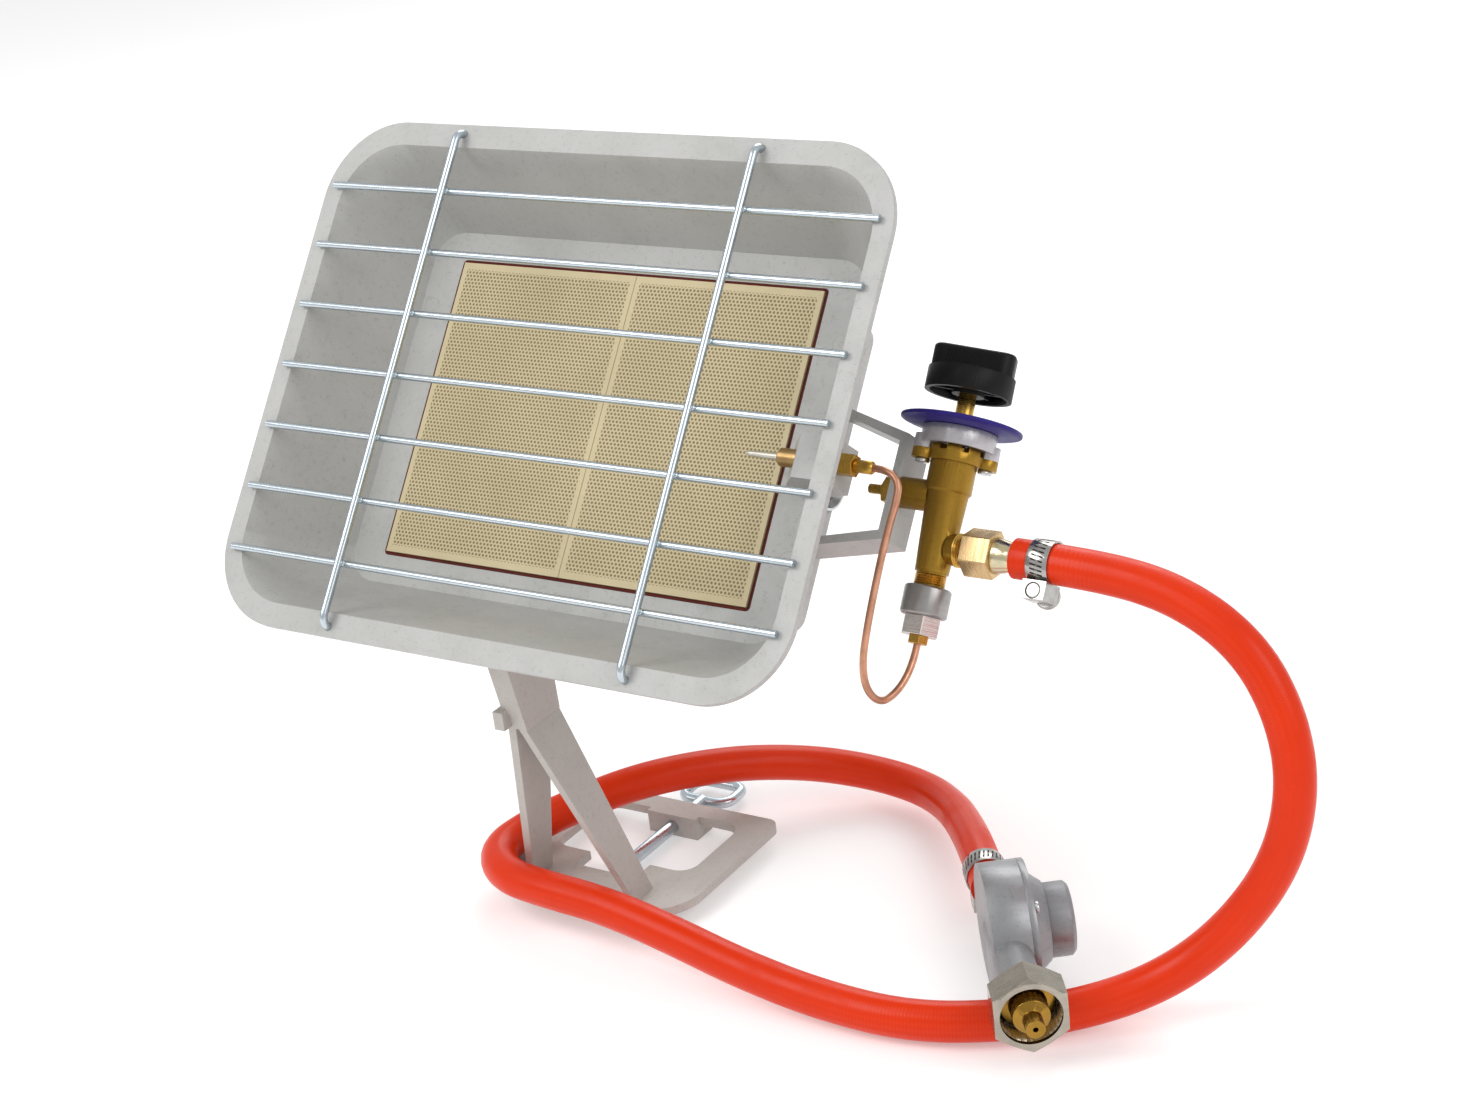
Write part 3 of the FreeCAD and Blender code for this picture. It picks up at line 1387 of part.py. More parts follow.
def inlet_nipple():
    """The brass nose inside the nut, screwed into the inlet."""
    start = size.nut_start - 1
    neck = size.inlet_radius - 2
    return turned_piece("inlet_nipple", [
        (1, 0), (neck, 0), (neck, size.nut_web + 1.3), (size.nipple_collar, size.nut_web + 1.3),
        (size.nipple_collar, size.nut_web + 3.3), (size.nipple_radius, size.nut_web + 3.3),
        (size.nipple_radius, size.nut_web + 3.3 + size.nipple_length),
        (size.nipple_tip_radius, size.nut_web + 4.8 + size.nipple_length),
        (size.nipple_tip_radius, size.nut_web + 4.8 + size.nipple_length + size.nipple_tip_length),
        (1, size.nut_web + 4.8 + size.nipple_length + size.nipple_tip_length),
    ], along_x(REGULATOR, start, 0, 0))


# Stand and clamp

def stand_casting():
    """The clamp plate, its boss and jaw, the two legs, the stem and the saddle under the dish."""
    body = new_body("stand_casting")
    half = size.base_width / 2
    window, notch = size.window_width / 2, size.notch_width / 2
    base = rectangle(sketch_on(body, offset=size.base_bottom), -half, half, size.base_front, size.base_back)
    polygon(base, [
        (-window, size.window_back), (window, size.window_back), (window, size.window_front),
        (notch, size.window_front), (notch, size.notch_front), (-notch, size.notch_front),
        (-notch, size.window_front), (-window, size.window_front),
    ])
    pad(base, size.base_thickness)
    for x in (-half, half):
        soften(body, size.base_front_corner, is_upright_at(x, size.base_front))
        soften(body, size.base_back_corner, is_upright_at(x, size.base_back))
    for x in (-window, window):
        for y in (size.window_front, size.window_back):
            soften(body, size.window_corner, is_upright_at(x, y))
    pad(rectangle(sketch_on(body), -size.boss_width / 2, size.boss_width / 2, size.boss_front, size.boss_back),
        BASE_TOP)
    pad(rectangle(sketch_on(body), -size.jaw_width / 2, size.jaw_width / 2, size.notch_front - size.jaw_depth,
                  size.notch_front), size.base_bottom + size.base_thickness / 2)
    for side in (-1, 1):
        add_leg(body, side)
    loft([
        rectangle(sketch_on(body, offset=size.leg_top), -size.stem_width / 2, size.stem_width / 2,
                  size.leg_top_front, size.leg_top_back),
        rectangle(sketch_on(body, offset=SADDLE_MIDDLE[1] - size.stem_end_drop), -size.stem_width / 2,
                  size.stem_width / 2, SADDLE_MIDDLE[0] - size.stem_end_front,
                  SADDLE_MIDDLE[0] + size.stem_end_back),
    ])
    pad(polygon(sketch_on(body, "YZ_Plane"), SADDLE), size.saddle_width, both_ways=True)
    peg_bottom = size.peg_z - size.peg_height / 2
    peg = rectangle(sketch_on(body, offset=peg_bottom), -size.stem_width / 2 - size.peg_width / 2,
                    -size.stem_width / 2 + size.peg_width / 2,
                    size.leg_top_front - size.peg_reach, size.leg_top_front + 3)
    pad(peg, size.peg_height)
    screw_bore = circle(sketch_on(body, "XZ_Plane", -size.base_back), size.screw_radius + size.bore_gap, 0,
                        size.screw_z)
    pocket(screw_bore, size.base_back - size.boss_front, forwards=True)
    cut_bolt_holes(body, SADDLE_FRAME, size.screw_gap, -size.saddle_thickness / 2, 2 * size.saddle_thickness)
    return body


def add_leg(body, side):
    """One leaning leg, broad from front to back."""
    thick = size.leg_thickness / 2
    foot, top = side * size.leg_foot_x, side * size.leg_top_x
    loft([
        rectangle(sketch_on(body, offset=size.base_bottom), foot - thick, foot + thick,
                  size.leg_foot_front, size.leg_foot_back),
        rectangle(sketch_on(body, offset=size.leg_top), top - thick, top + thick,
                  size.leg_top_front, size.leg_top_back),
    ])


def cut_bolt_holes(body, saddle, gap, start, depth):
    """Two bolt holes square to the sloping saddle, from a height above it."""
    plane = next(item for item in body.Origin.OriginFeatures if item.Role == "XY_Plane")
    for side in (-1, 1):
        hole = body.newObject("PartDesign::SubtractiveCylinder", "BoltHole")
        bind(hole, "Radius", size.saddle_bolt_radius + gap)
        bind(hole, "Height", depth)
        hole.AttachmentOffset = saddle * Placement(numbers(side * size.saddle_bolt_x, 0, start), Rotation())
        hole.AttachmentSupport = [(plane, "")]
        hole.MapMode = "FlatFace"


def stand_bolts():
    """Two bolts up through the saddle into the pad under the dish."""
    bolt = screw_shape(size.saddle_bolt_radius, size.saddle_thickness + size.saddle_bolt_grip,
                       size.saddle_bolt_head, size.saddle_bolt_head_height)
    places = [SADDLE_FRAME * Placement(numbers(side * size.saddle_bolt_x, 0, size.saddle_thickness), Rotation())
              for side in (-1, 1)]
    return screw_group("stand_bolts", bolt, places)


def clamp_screw():
    """The clamp's screw with its bent loop handle."""
    length = size.screw_back - size.screw_tip
    shank = Part.makeCylinder(size.screw_radius.number, length.number, numbers(0, size.screw_tip, 0), Y_AXIS)
    half, near, far = size.loop_width / 2, size.screw_back, size.screw_back + size.loop_length
    route = [(0, near, 0), (half, near, 0), (half, far, 0), (-half, far, 0), (-half, near, 0), (0, near, 0)]
    loop = tube_along(route, size.loop_wire, bends=[size.loop_corner.number] * 4)
    shape = shank.fuse(loop).removeSplitter()
    return made_shape("clamp_screw", shape, Placement(numbers(0, 0, size.screw_z), Rotation()))


def clamp_pad():
    """The swivel pad on the tip of the screw."""
    depth = size.pad_thickness / 2
    inner = size.screw_radius + size.bore_gap
    return turned_piece("clamp_pad", [
        (0, 0), (size.pad_radius, 0), (size.pad_radius, size.pad_thickness), (inner, size.pad_thickness),
        (inner, depth), (0, depth),
    ], along_y(Placement(), 0, size.screw_tip - depth, size.screw_z))


def saddle_line(share, outward):
    """A point under the lower dish wall, in the head's own (y, z): along the wall and off it."""
    front_y = -(MOUTH_HEIGHT / 2 + size.dish_wall)
    back_y = -(FLOOR_HEIGHT / 2 + size.dish_wall)
    run_y, run_z = back_y - front_y, DISH_BACK
    length = math.hypot(run_y.number, run_z.number)
    y = front_y + run_y * share + run_z * outward / length
    z = run_z * share - run_y * outward / length
    return y, z


def in_stand(point):
    """A (y, z) point of the head's frame, in the stand's frame."""
    y, z = point
    tilt = size.face_tilt
    return (y * cosine(tilt) - z * sine(tilt) - size.face_reach,
            y * sine(tilt) + z * cosine(tilt) + size.face_height)


SADDLE_PAD = [saddle_line(size.saddle_start, -1), saddle_line(size.saddle_end, -1),
              saddle_line(size.saddle_end, size.saddle_pad), saddle_line(size.saddle_start, size.saddle_pad)]
SADDLE_FACE = size.saddle_pad + size.saddle_thickness
SADDLE = [in_stand(saddle_line(size.saddle_start, size.saddle_pad)),
          in_stand(saddle_line(size.saddle_end, size.saddle_pad)),
          in_stand(saddle_line(size.saddle_end, SADDLE_FACE)),
          in_stand(saddle_line(size.saddle_start, SADDLE_FACE))]


def saddle_frame():
    """A frame on the saddle's upper face, with Z pointing down out of the dish."""
    middle = (size.saddle_start + size.saddle_end) / 2
    top, below = in_stand(saddle_line(middle, size.saddle_pad)), in_stand(saddle_line(middle, SADDLE_FACE))
    start, end = numbers(0, *top), numbers(0, *below)
    return Placement(start, Rotation(Z_AXIS, end - start))


SADDLE_FRAME = saddle_frame()
SADDLE_MIDDLE = in_stand(saddle_line((size.saddle_start + size.saddle_end) / 2, SADDLE_FACE))

VALVE_CLAMP = along_x(VALVE, HOSE_START + size.clamp_inset, 0, -size.outlet_drop) * Placement(
    Vector(), Rotation(Z_AXIS, 90))
REGULATOR_CLAMP = along_x(REGULATOR, -size.neck_end - size.clamp_inset - size.clamp_width, 0, 0) * Placement(
    Vector(), Rotation(Z_AXIS, 90))


def make_pieces():
    """Every piece of the heater."""
    pieces = [
        reflector_housing(), plaque_gasket(), ceramic_plate("ceramic_plate_left", -1),
        ceramic_plate("ceramic_plate_right", 1), plaque_retainer(), plenum_cover(), gas_baffle(),
        mixing_tube(), plenum_screws(), guard_cross_wires(), guard_uprights(), thermocouple_lead(), valve_body(), injector(),
        bonnet_ring(), bonnet_screws(), stem_seal(), valve_stem(), valve_plug(), stem_spring(),
        dial_disc(), control_knob(), hose_union_nut(), hose_tail(), gas_hose(),
        hose_clamp("valve_hose_clamp", VALVE_CLAMP), clamp_screw_piece("valve_clamp_screw", VALVE_CLAMP),
        hose_clamp("regulator_hose_clamp", REGULATOR_CLAMP),
        clamp_screw_piece("regulator_clamp_screw", REGULATOR_CLAMP),
        regulator_body(), regulator_diaphragm(), regulator_cover(), regulator_cap(), regulator_spring(),
        regulator_screws(), bottle_nut(), inlet_nipple(), stand_casting(), stand_bolts(), clamp_screw(),
        clamp_pad(),
    ]
    return pieces + probe_pieces() + magnet_pieces()


def check_document():
    """Stops at any object that failed to compute."""
    for item in doc.Objects:
        if "Invalid" in item.State or "Error" in item.State:
            raise RuntimeError(f"{item.Label} ({item.Name}) did not compute: {item.State}")


pieces = make_pieces()
doc.recompute()
check_document()
for piece in pieces:
    shape = piece.Shape
    if shape.isNull() or not shape.isValid():
        raise RuntimeError(f"{piece.Label} has no valid shape")
    shape.exportStep(f"parts/{piece.Label}.step")
    box = shape.BoundBox
    print(f"{piece.Label:24s} {len(shape.Solids)} solids, {shape.Volume / 1000:8.2f} cm3, "
          f"x {box.XMin:6.1f}..{box.XMax:6.1f} y {box.YMin:6.1f}..{box.YMax:6.1f} z {box.ZMin:6.1f}..{box.ZMax:6.1f}")
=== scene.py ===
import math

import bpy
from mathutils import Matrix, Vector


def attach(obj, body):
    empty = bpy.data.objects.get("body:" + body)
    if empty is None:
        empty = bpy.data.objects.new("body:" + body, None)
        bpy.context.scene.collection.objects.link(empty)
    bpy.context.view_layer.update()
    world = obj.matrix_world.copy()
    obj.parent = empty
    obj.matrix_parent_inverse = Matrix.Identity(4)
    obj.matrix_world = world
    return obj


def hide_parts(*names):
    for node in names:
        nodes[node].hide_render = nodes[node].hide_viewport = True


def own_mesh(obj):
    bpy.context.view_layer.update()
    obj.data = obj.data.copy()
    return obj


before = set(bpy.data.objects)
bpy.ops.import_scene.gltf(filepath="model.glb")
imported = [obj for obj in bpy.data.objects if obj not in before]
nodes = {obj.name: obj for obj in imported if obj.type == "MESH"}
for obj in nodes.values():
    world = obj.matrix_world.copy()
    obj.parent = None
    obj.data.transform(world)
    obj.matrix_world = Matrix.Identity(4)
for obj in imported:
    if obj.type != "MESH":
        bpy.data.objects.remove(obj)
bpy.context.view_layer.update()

# %% [markdown]
# # A portable propane heater
# The real heater is a cast burner head on a small clamp-on stand, with a brass valve at its right
# side, an orange hose and a grey pressure regulator. The solids are already in place. This lesson
# gives them their finishes, draws the hose, the copper lead and the valve's spring again as
# smoother pieces, and adds what is too fine for a solid: threads, clamp slots, screw recesses,
# weld beads, cast marks and the ribs of the knob.

# %% [markdown]
# ## Frames
# The head leans back, the valve leans a little less, and the regulator lies turned on the floor.
# Writing a detail in the frame of the piece that carries it keeps its numbers short, and the same
# frames later tell the finishes which way a casting or a lathe line runs.

# %% Frames of the head, the valve and the regulator
MM = 0.001
WORLD = Matrix.Identity(4)
HEAD_TILT = 51.7
VALVE_TILT = -86
REGULATOR_TURN = -53.5
OUTLET_DROP = 20
HOSE_START = 34.8


def turned(degrees, axis):
    """A turn about one axis."""
    return Matrix.Rotation(math.radians(degrees), 4, axis)


def place_in(frame_matrix, x, y, z, turn=WORLD):
    """A frame at a point in millimetres of another frame."""
    return frame_matrix @ Matrix.Translation(Vector((x, y, z)) * MM) @ turn


def spot_in(frame_matrix, x, y, z):
    """A point in millimetres of a frame, as a point of the world in metres."""
    return frame_matrix @ (Vector((x, y, z)) * MM)


ALONG_X = turned(90, "Y")
ALONG_Y = turned(-90, "X")
HEAD = place_in(WORLD, 0, -54.6, 229.2, turned(HEAD_TILT, "X"))
VALVE = place_in(HEAD, 153.6, -6, -70, turned(VALVE_TILT, "X"))
REGULATOR = place_in(WORLD, 193.3, -58.3, 26, turned(REGULATOR_TURN, "Z"))
print("valve stands at", [round(n, 4) for n in VALVE.translation])

# %% [markdown]
# ## The camera
# The photograph was taken from the front right and a little above, from about 1.2 m. The camera is
# given by where it stands and by its three directions, which were worked out from straight edges
# of the head, so that every piece falls where the photograph has it.

# %% Camera
LENS_MM = 63.3
SENSOR_MM = 36
CAMERA_PLACE = (0.6292, -0.8249, 0.5686)
camera_data = bpy.data.cameras.new("camera")
camera_data.lens = LENS_MM
camera_data.sensor_width = SENSOR_MM
camera_data.clip_start = 0.05
camera = bpy.data.objects.new("camera", camera_data)
bpy.context.scene.collection.objects.link(camera)
to_right = Vector((0.83942, 0.5316, -0.11299))
upwards = Vector((-0.12235, 0.38742, 0.91375))
backwards = to_right.cross(upwards)
look = Matrix((to_right, upwards, backwards)).transposed()
camera.matrix_world = Matrix.Translation(CAMERA_PLACE) @ look.to_4x4()
bpy.context.scene.camera = camera
print("camera is", round(camera.matrix_world.translation.length, 3), "m from the clamp")

# %% [markdown]
# ## The hose's line
# A rubber hose keeps one smooth curve, so its line is one NURBS spline. Its control points lie
# where the hose was seen: out of the valve, down to the floor, under the regulator, across to the
# stand, a tight turn beside the legs, and over the clamp plate back to the regulator. Bevelling a
# curve gives a round tube whose skin follows the line, with its own lengthwise coordinate.

# %% Points of the hose
HOSE_ROUTE = [
    (257, -17, 160),
    (285, -22, 146),
    (301, -27, 123),
    (307, -32, 96),
    (302, -38, 67),
    (286, -46, 40),
    (264, -56, 19),
    (239, -73, 9.4),
    (211, -95, 9),
    (178, -109, 9),
    (140, -110, 9.6),
    (100, -106, 12),
    (62, -100, 16),
    (26, -96, 19.5),
    (-7, -95, 19.8),
    (-32, -90, 18.8),
    (-47, -74, 18.7),
    (-43, -54, 20.5),
    (-28, -38, 26),
    (-10, -20, 31),
    (8, -1, 31.5),
    (26, 19, 28.5),
    (47, 41, 21),
    (72, 53, 14.5),
    (98, 51, 12.5),
    (121, 34, 16.5),
    (141, 11, 22),
]
STRAIGHT_RUN = 35
REGULATOR_MOUTH = -54
REGULATOR_SEAT = -30
hose_start = spot_in(VALVE, HOSE_START, 0, -OUTLET_DROP)
hose_end = spot_in(REGULATOR, REGULATOR_SEAT, 0, 0)
hose_points = [hose_start, hose_start + Vector((STRAIGHT_RUN, 0, 0)) * MM]
hose_points += [Vector(place) * MM for place in HOSE_ROUTE]
hose_points += [spot_in(REGULATOR, REGULATOR_MOUTH, 0, 0), hose_end]
print("hose has", len(hose_points), "points")

# %% [markdown]
# ### A tube round a line
# The hose and the copper lead are both round tubes of one thickness. A swept mesh would need its
# own rings of points, while a curve with a bevel makes them by itself, and a later change to the
# line needs no new mesh. The thickness is given by the radius of each point, so a bevel of one is
# only a factor.


# %% A smooth tube from control points
def smooth_tube(name, points, radius, ring=8):
    """A NURBS curve through the air, bevelled to a round tube by the radius of its points."""
    curve = bpy.data.curves.new(name, "CURVE")
    curve.dimensions = "3D"
    spline = curve.splines.new("NURBS")
    spline.points.add(len(points) - 1)
    for point, place in zip(spline.points, points):
        point.co = (*place, 1)
        point.radius = radius
    spline.order_u = 3
    spline.use_endpoint_u = True
    spline.resolution_u = 10
    curve.bevel_depth = 1.0
    curve.bevel_resolution = ring
    curve.use_fill_caps = True
    tube = bpy.data.objects.new(name, curve)
    bpy.context.scene.collection.objects.link(tube)
    return tube


def line_length(points):
    """The length of a line through points."""
    return sum((b - a).length for a, b in zip(points, points[1:]))


def points_on(tube):
    """Points read from a tube's own line."""
    depth = tube.data.bevel_depth
    tube.data.bevel_depth = 0
    bare = bpy.data.meshes.new_from_object(tube.evaluated_get(bpy.context.evaluated_depsgraph_get()))
    tube.data.bevel_depth = depth
    points = [vertex.co.copy() for vertex in bare.vertices]
    bpy.data.meshes.remove(bare)
    return points


# %% [markdown]
# ### The hose
# The hose is one round tube of one thickness, from where it leaves the valve to the regulator,
# riding on the heater's body. The length is measured on the finished line instead of being written
# by hand.

# %% The hose
HOSE_RADIUS = 8
hose = smooth_tube("rubber_hose", hose_points, HOSE_RADIUS * MM, ring=10)
bpy.context.view_layer.update()
hose_length = line_length(points_on(hose))
print("hose is", round(hose_length, 3), "m long")
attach(hose, "heater")
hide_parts("gas_hose")

# %% [markdown]
# ## The copper lead
# A thin copper tube runs from the magnet under the valve to the probe in the dish. It was bent by
# hand, so only its first few millimetres are straight. The same kind of curve shows that better
# than a swept solid made of arcs.

# %% The lead
LEAD_ROUTE = [
    (152.6, -83, -71.5),
    (149.3, -91.5, -65.5),
    (145.6, -88.5, -57.5),
    (144, -79, -52),
    (145.8, -65, -46),
    (149.3, -46, -38),
    (152.8, -29, -31.5),
    (154.9, -19, -29),
    (154.6, -12, -28),
    (149.2, -8, -27),
    (143.2, -8, -27),
]
LEAD_RADIUS = 1.5
LEAD_NUT_END = 58.8
LEAD_STRAIGHT = 7
lead_points = [spot_in(VALVE, 0, 0, -LEAD_NUT_END), spot_in(VALVE, 0, 0, -LEAD_NUT_END - LEAD_STRAIGHT)]
lead_points += [spot_in(HEAD, *place) for place in LEAD_ROUTE]
lead = smooth_tube("copper_lead", lead_points, LEAD_RADIUS * MM, ring=4)
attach(lead, "heater")
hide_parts("thermocouple_lead")
bpy.context.view_layer.update()
print("lead is", round(line_length(points_on(lead)), 3), "m long")

# %% [markdown]
# ## Building blocks for finishes
# Castings, machined metal and plastic share a few effects: fine grain, cloudy variation and lines
# left by a lathe. Each effect is made once as a node group and then placed in each material with
# its own numbers. A group gives only values; the shader itself stays in the material.


# %% A small helper for node trees
class Recipe:
    """Adds nodes to one tree and joins them in the order they are written."""

    def __init__(self, tree):
        self.tree = tree

    def add(self, kind, settings=None, inputs=None):
        """A node of a kind, with its settings and with its inputs set or linked."""
        node = self.tree.nodes.new(kind)
        for name, value in (settings or {}).items():
            setattr(node, name, value)
        for name, value in (inputs or {}).items():
            self.feed(node.inputs[name], value)
        return node

    def feed(self, socket, value):
        """Sets a socket to a number or colour, or links it to another node's output."""
        if isinstance(value, bpy.types.NodeSocket):
            self.tree.links.new(value, socket)
        else:
            socket.default_value = value

    def math(self, operation, *values):
        """A sum on numbers or sockets."""
        node = self.add("ShaderNodeMath", {"operation": operation})
        for socket, value in zip(node.inputs, values):
            self.feed(socket, value)
        return node.outputs[0]

    def ramp(self, value, low, high, to_low=0.0, to_high=1.0):
        """A value stretched smoothly from one range to another."""
        node = self.add("ShaderNodeMapRange", {"interpolation_type": "SMOOTHSTEP"}, {
            "Value": value, "From Min": low, "From Max": high, "To Min": to_low, "To Max": to_high})
        return node.outputs[0]

    def blend(self, share, first, second):
        """Two colours mixed by a share."""
        node = self.add("ShaderNodeMix", {"data_type": "RGBA"})
        for index, value in ((0, share), (6, first), (7, second)):
            self.feed(node.inputs[index], value)
        return node.outputs[2]

    def noise(self, vector, scale, detail, rough):
        """Soft noise at a scale."""
        node = self.add("ShaderNodeTexNoise", None, {
            "Vector": vector, "Scale": scale, "Detail": detail, "Roughness": rough})
        return node.outputs[0]


def new_group(name, inputs, outputs):
    """An empty node group with its named inputs and outputs, and the nodes at its two ends."""
    group = bpy.data.node_groups.new(name, "ShaderNodeTree")
    for label, kind, start in inputs:
        socket = group.interface.new_socket(label, in_out="INPUT", socket_type=kind)
        if start is not None:
            socket.default_value = start
    for label, kind in outputs:
        group.interface.new_socket(label, in_out="OUTPUT", socket_type=kind)
    entry = group.nodes.new("NodeGroupInput")
    exit_node = group.nodes.new("NodeGroupOutput")
    return Recipe(group), entry.outputs, exit_node.inputs


FLOAT = "NodeSocketFloat"
VECTOR = "NodeSocketVector"
TO_MM = 1000.0
print("Recipe can add:", [name for name in vars(Recipe) if not name.startswith("_")])

# %% [markdown]
# ### Cast grain
# Sand and die castings have a fine pebbled skin, and the coating over it clouds a little. Two
# sizes of noise added together make the height, and a slow noise makes the clouds.

# %% Group: cast grain
COARSE_SCALE = 0.28
FINE_SHARE = 0.6
COARSE_SHARE = 0.4
CLOUD_SCALE = 28.0
cast, given, result = new_group("cast grain", [("Vector", VECTOR, None), ("Grain", FLOAT, 1800.0)],
                                [("Height", FLOAT), ("Cloud", FLOAT)])
fine = cast.noise(given["Vector"], given["Grain"], 3.0, 0.6)
coarse = cast.noise(given["Vector"], cast.math("MULTIPLY", given["Grain"], COARSE_SCALE), 2.0, 0.5)
fine_part = cast.math("MULTIPLY", fine, FINE_SHARE)
coarse_part = cast.math("MULTIPLY", coarse, COARSE_SHARE)
cast.feed(result["Height"], cast.math("ADD", fine_part, coarse_part))
cast.feed(result["Cloud"], cast.ramp(cast.noise(given["Vector"], CLOUD_SCALE, 4.0, 0.6), 0.35, 0.65))
print("made", cast.tree.name)

# %% [markdown]
# ### Lathe lines
# A turned piece keeps fine rings about its axis. They depend only on the place along the axis, so
# a stretched noise does it: fast along the axis, hardly at all across it.

# %% Group: lathe lines
ACROSS_SCALE = 40.0
lathe, given, result = new_group("lathe lines", [("Vector", VECTOR, None), ("Lines per mm", FLOAT, 3.0)],
                                 [("Height", FLOAT), ("Shine", FLOAT)])
split = lathe.add("ShaderNodeSeparateXYZ", None, {"Vector": given["Vector"]})
along = lathe.math("MULTIPLY", split.outputs[2], lathe.math("MULTIPLY", given["Lines per mm"], TO_MM))
around = lathe.math("ADD", lathe.math("MULTIPLY", split.outputs[0], ACROSS_SCALE),
                    lathe.math("MULTIPLY", split.outputs[1], ACROSS_SCALE))
joined = lathe.add("ShaderNodeCombineXYZ", None, {"X": around, "Z": along})
rings = lathe.noise(joined.outputs[0], 1.0, 2.0, 0.7)
lathe.feed(result["Height"], rings)
lathe.feed(result["Shine"], lathe.ramp(rings, 0.3, 0.7))
print("made", lathe.tree.name)

# %% [markdown]
# ### Handling marks
# Nothing stays evenly clean. Broad smudges make the gloss uneven, and short thin scratches catch
# the light. A soft noise gives the smudges. A second noise, stretched along one direction and cut
# near its top, leaves only a few short strokes for the scratches.

# %% Group: handling marks
STRETCH = (1.0, 9.0, 1.4)
STREAK_SCALE = 6.0
marks, given, result = new_group("handling marks", [("Vector", VECTOR, None), ("Scale", FLOAT, 60.0)],
                                 [("Smudge", FLOAT), ("Scratch", FLOAT)])
marks.feed(result["Smudge"], marks.ramp(marks.noise(given["Vector"], given["Scale"], 5.0, 0.65), 0.4, 0.7))
stretched = marks.add("ShaderNodeVectorMath", {"operation": "MULTIPLY"}, {0: given["Vector"], 1: STRETCH})
streaks = marks.noise(stretched.outputs[0], marks.math("MULTIPLY", given["Scale"], STREAK_SCALE), 2.0, 0.4)
marks.feed(result["Scratch"], marks.ramp(streaks, 0.68, 0.74))
print("made", marks.tree.name)


# %% [markdown]
# ## Materials
# Each material starts from one helper that makes the shader and the coordinates of a frame. A
# texture mapping turned the "texture" way takes a point of the world into that frame, so grain and
# lathe lines follow the piece and not the room.

# %% A new material
def new_material(name, color, roughness, metallic=0.0, frame_matrix=WORLD):
    """A material with its shader, and coordinates in the frame of a piece."""
    material = bpy.data.materials.new(name)
    material.use_nodes = True
    recipe = Recipe(material.node_tree)
    shader = material.node_tree.nodes["Principled BSDF"]
    shader.inputs["Base Color"].default_value = (*color, 1)
    shader.inputs["Roughness"].default_value = roughness
    shader.inputs["Metallic"].default_value = metallic
    coordinates = recipe.add("ShaderNodeTexCoord").outputs["Object"]
    mapping = recipe.add("ShaderNodeMapping", {"vector_type": "TEXTURE"}, {
        "Vector": coordinates, "Location": frame_matrix.translation, "Rotation": frame_matrix.to_euler()})
    return material, recipe, shader, mapping.outputs[0]


def use_group(recipe, name, inputs):
    """A group placed in a material."""
    node = recipe.add("ShaderNodeGroup", {"node_tree": bpy.data.node_groups[name]})
    for label, value in inputs.items():
        recipe.feed(node.inputs[label], value)
    return node.outputs


def bump(recipe, shader, height, strength, distance):
    """Gives the shader a rough skin from a height."""
    node = recipe.add("ShaderNodeBump", None, {
        "Height": height, "Strength": strength, "Distance": distance})
    recipe.feed(shader.inputs["Normal"], node.outputs[0])


def spread(recipe, value, roughness, above):
    """A roughness that runs from a little below its middle value to a given amount above it."""
    return recipe.ramp(value, 0.0, 1.0, roughness - 0.05, roughness + above)


print("groups at hand:", [group.name for group in bpy.data.node_groups])

# %% [markdown]
# ### How a casting is painted
# A light and a dark version of one colour are mixed by the clouds, and the lowest points of the
# grain are painted darker still, as painted shade in the pits. The gloss follows the smudges, and
# the same grain lifts the skin a tenth of a millimetre.


# %% Cast metal
CLOUD_SHARE = 0.4
PAINTED_PIT_SHADE = 0.55


def cast_metal(name, light, dark, roughness, grain, depth, metallic=0.0, frame_matrix=HEAD):
    """A coated or bare casting: clouded colour, pebbled skin with painted shade in its pits, uneven gloss.
    """
    material, recipe, shader, vector = new_material(name, light, roughness, metallic, frame_matrix)
    skin = use_group(recipe, "cast grain", {"Vector": vector, "Grain": grain})
    worn = use_group(recipe, "handling marks", {"Vector": vector, "Scale": 45.0})
    clouded = recipe.blend(recipe.math("MULTIPLY", skin["Cloud"], CLOUD_SHARE), (*light, 1), (*dark, 1))
    # Painted shade: the lowest points of the grain are blended toward a darker copy of the colour.
    painted_pit_shade = (*[PAINTED_PIT_SHADE * part for part in dark], 1)
    with_painted_pit_shade = recipe.blend(recipe.ramp(skin["Height"], 0.36, 0.46, 0.35, 0.0), clouded, painted_pit_shade)
    recipe.feed(shader.inputs["Base Color"], with_painted_pit_shade)
    recipe.feed(shader.inputs["Roughness"], spread(recipe, worn["Smudge"], roughness, 0.12))
    bump(recipe, shader, skin["Height"], 0.5, depth)
    return material


print("clouds take", CLOUD_SHARE, "of the darker colour")

# %% [markdown]
# ### Cast pieces
# The head is coated in a satin cool grey, the stand in a warmer one, and the regulator and the
# bonnet are bare zinc. The brass body is a rough casting whose machined ends shine.

# %% Cast materials
head_grey = cast_metal("head_grey", (0.45, 0.448, 0.435), (0.375, 0.373, 0.355), 0.45, 1500.0, 0.00012)
stand_grey = cast_metal("stand_grey", (0.46, 0.43, 0.40), (0.40, 0.37, 0.345), 0.45, 1500.0, 0.00015,
                        frame_matrix=WORLD)
bare_zinc = cast_metal("bare_zinc", (0.31, 0.315, 0.325), (0.23, 0.235, 0.245), 0.42, 1900.0, 0.0001,
                       0.6, REGULATOR)
bonnet_zinc = cast_metal("bonnet_zinc", (0.52, 0.50, 0.52), (0.36, 0.35, 0.36), 0.36, 2200.0, 0.0001,
                         0.7, VALVE)
cast_brass = cast_metal("cast_brass", (0.36, 0.205, 0.026), (0.22, 0.115, 0.014), 0.36, 2600.0, 0.00012,
                        0.85, VALVE)
cast_materials = (head_grey, stand_grey, bare_zinc, bonnet_zinc, cast_brass)
print("cast materials:", [material.name for material in cast_materials])


# %% [markdown]
# ### Turned metal
# Turned brass, bright alloy and nickel share the lathe lines. Their rings have to run about the
# axis of the piece, so each one names the frame it was turned in.

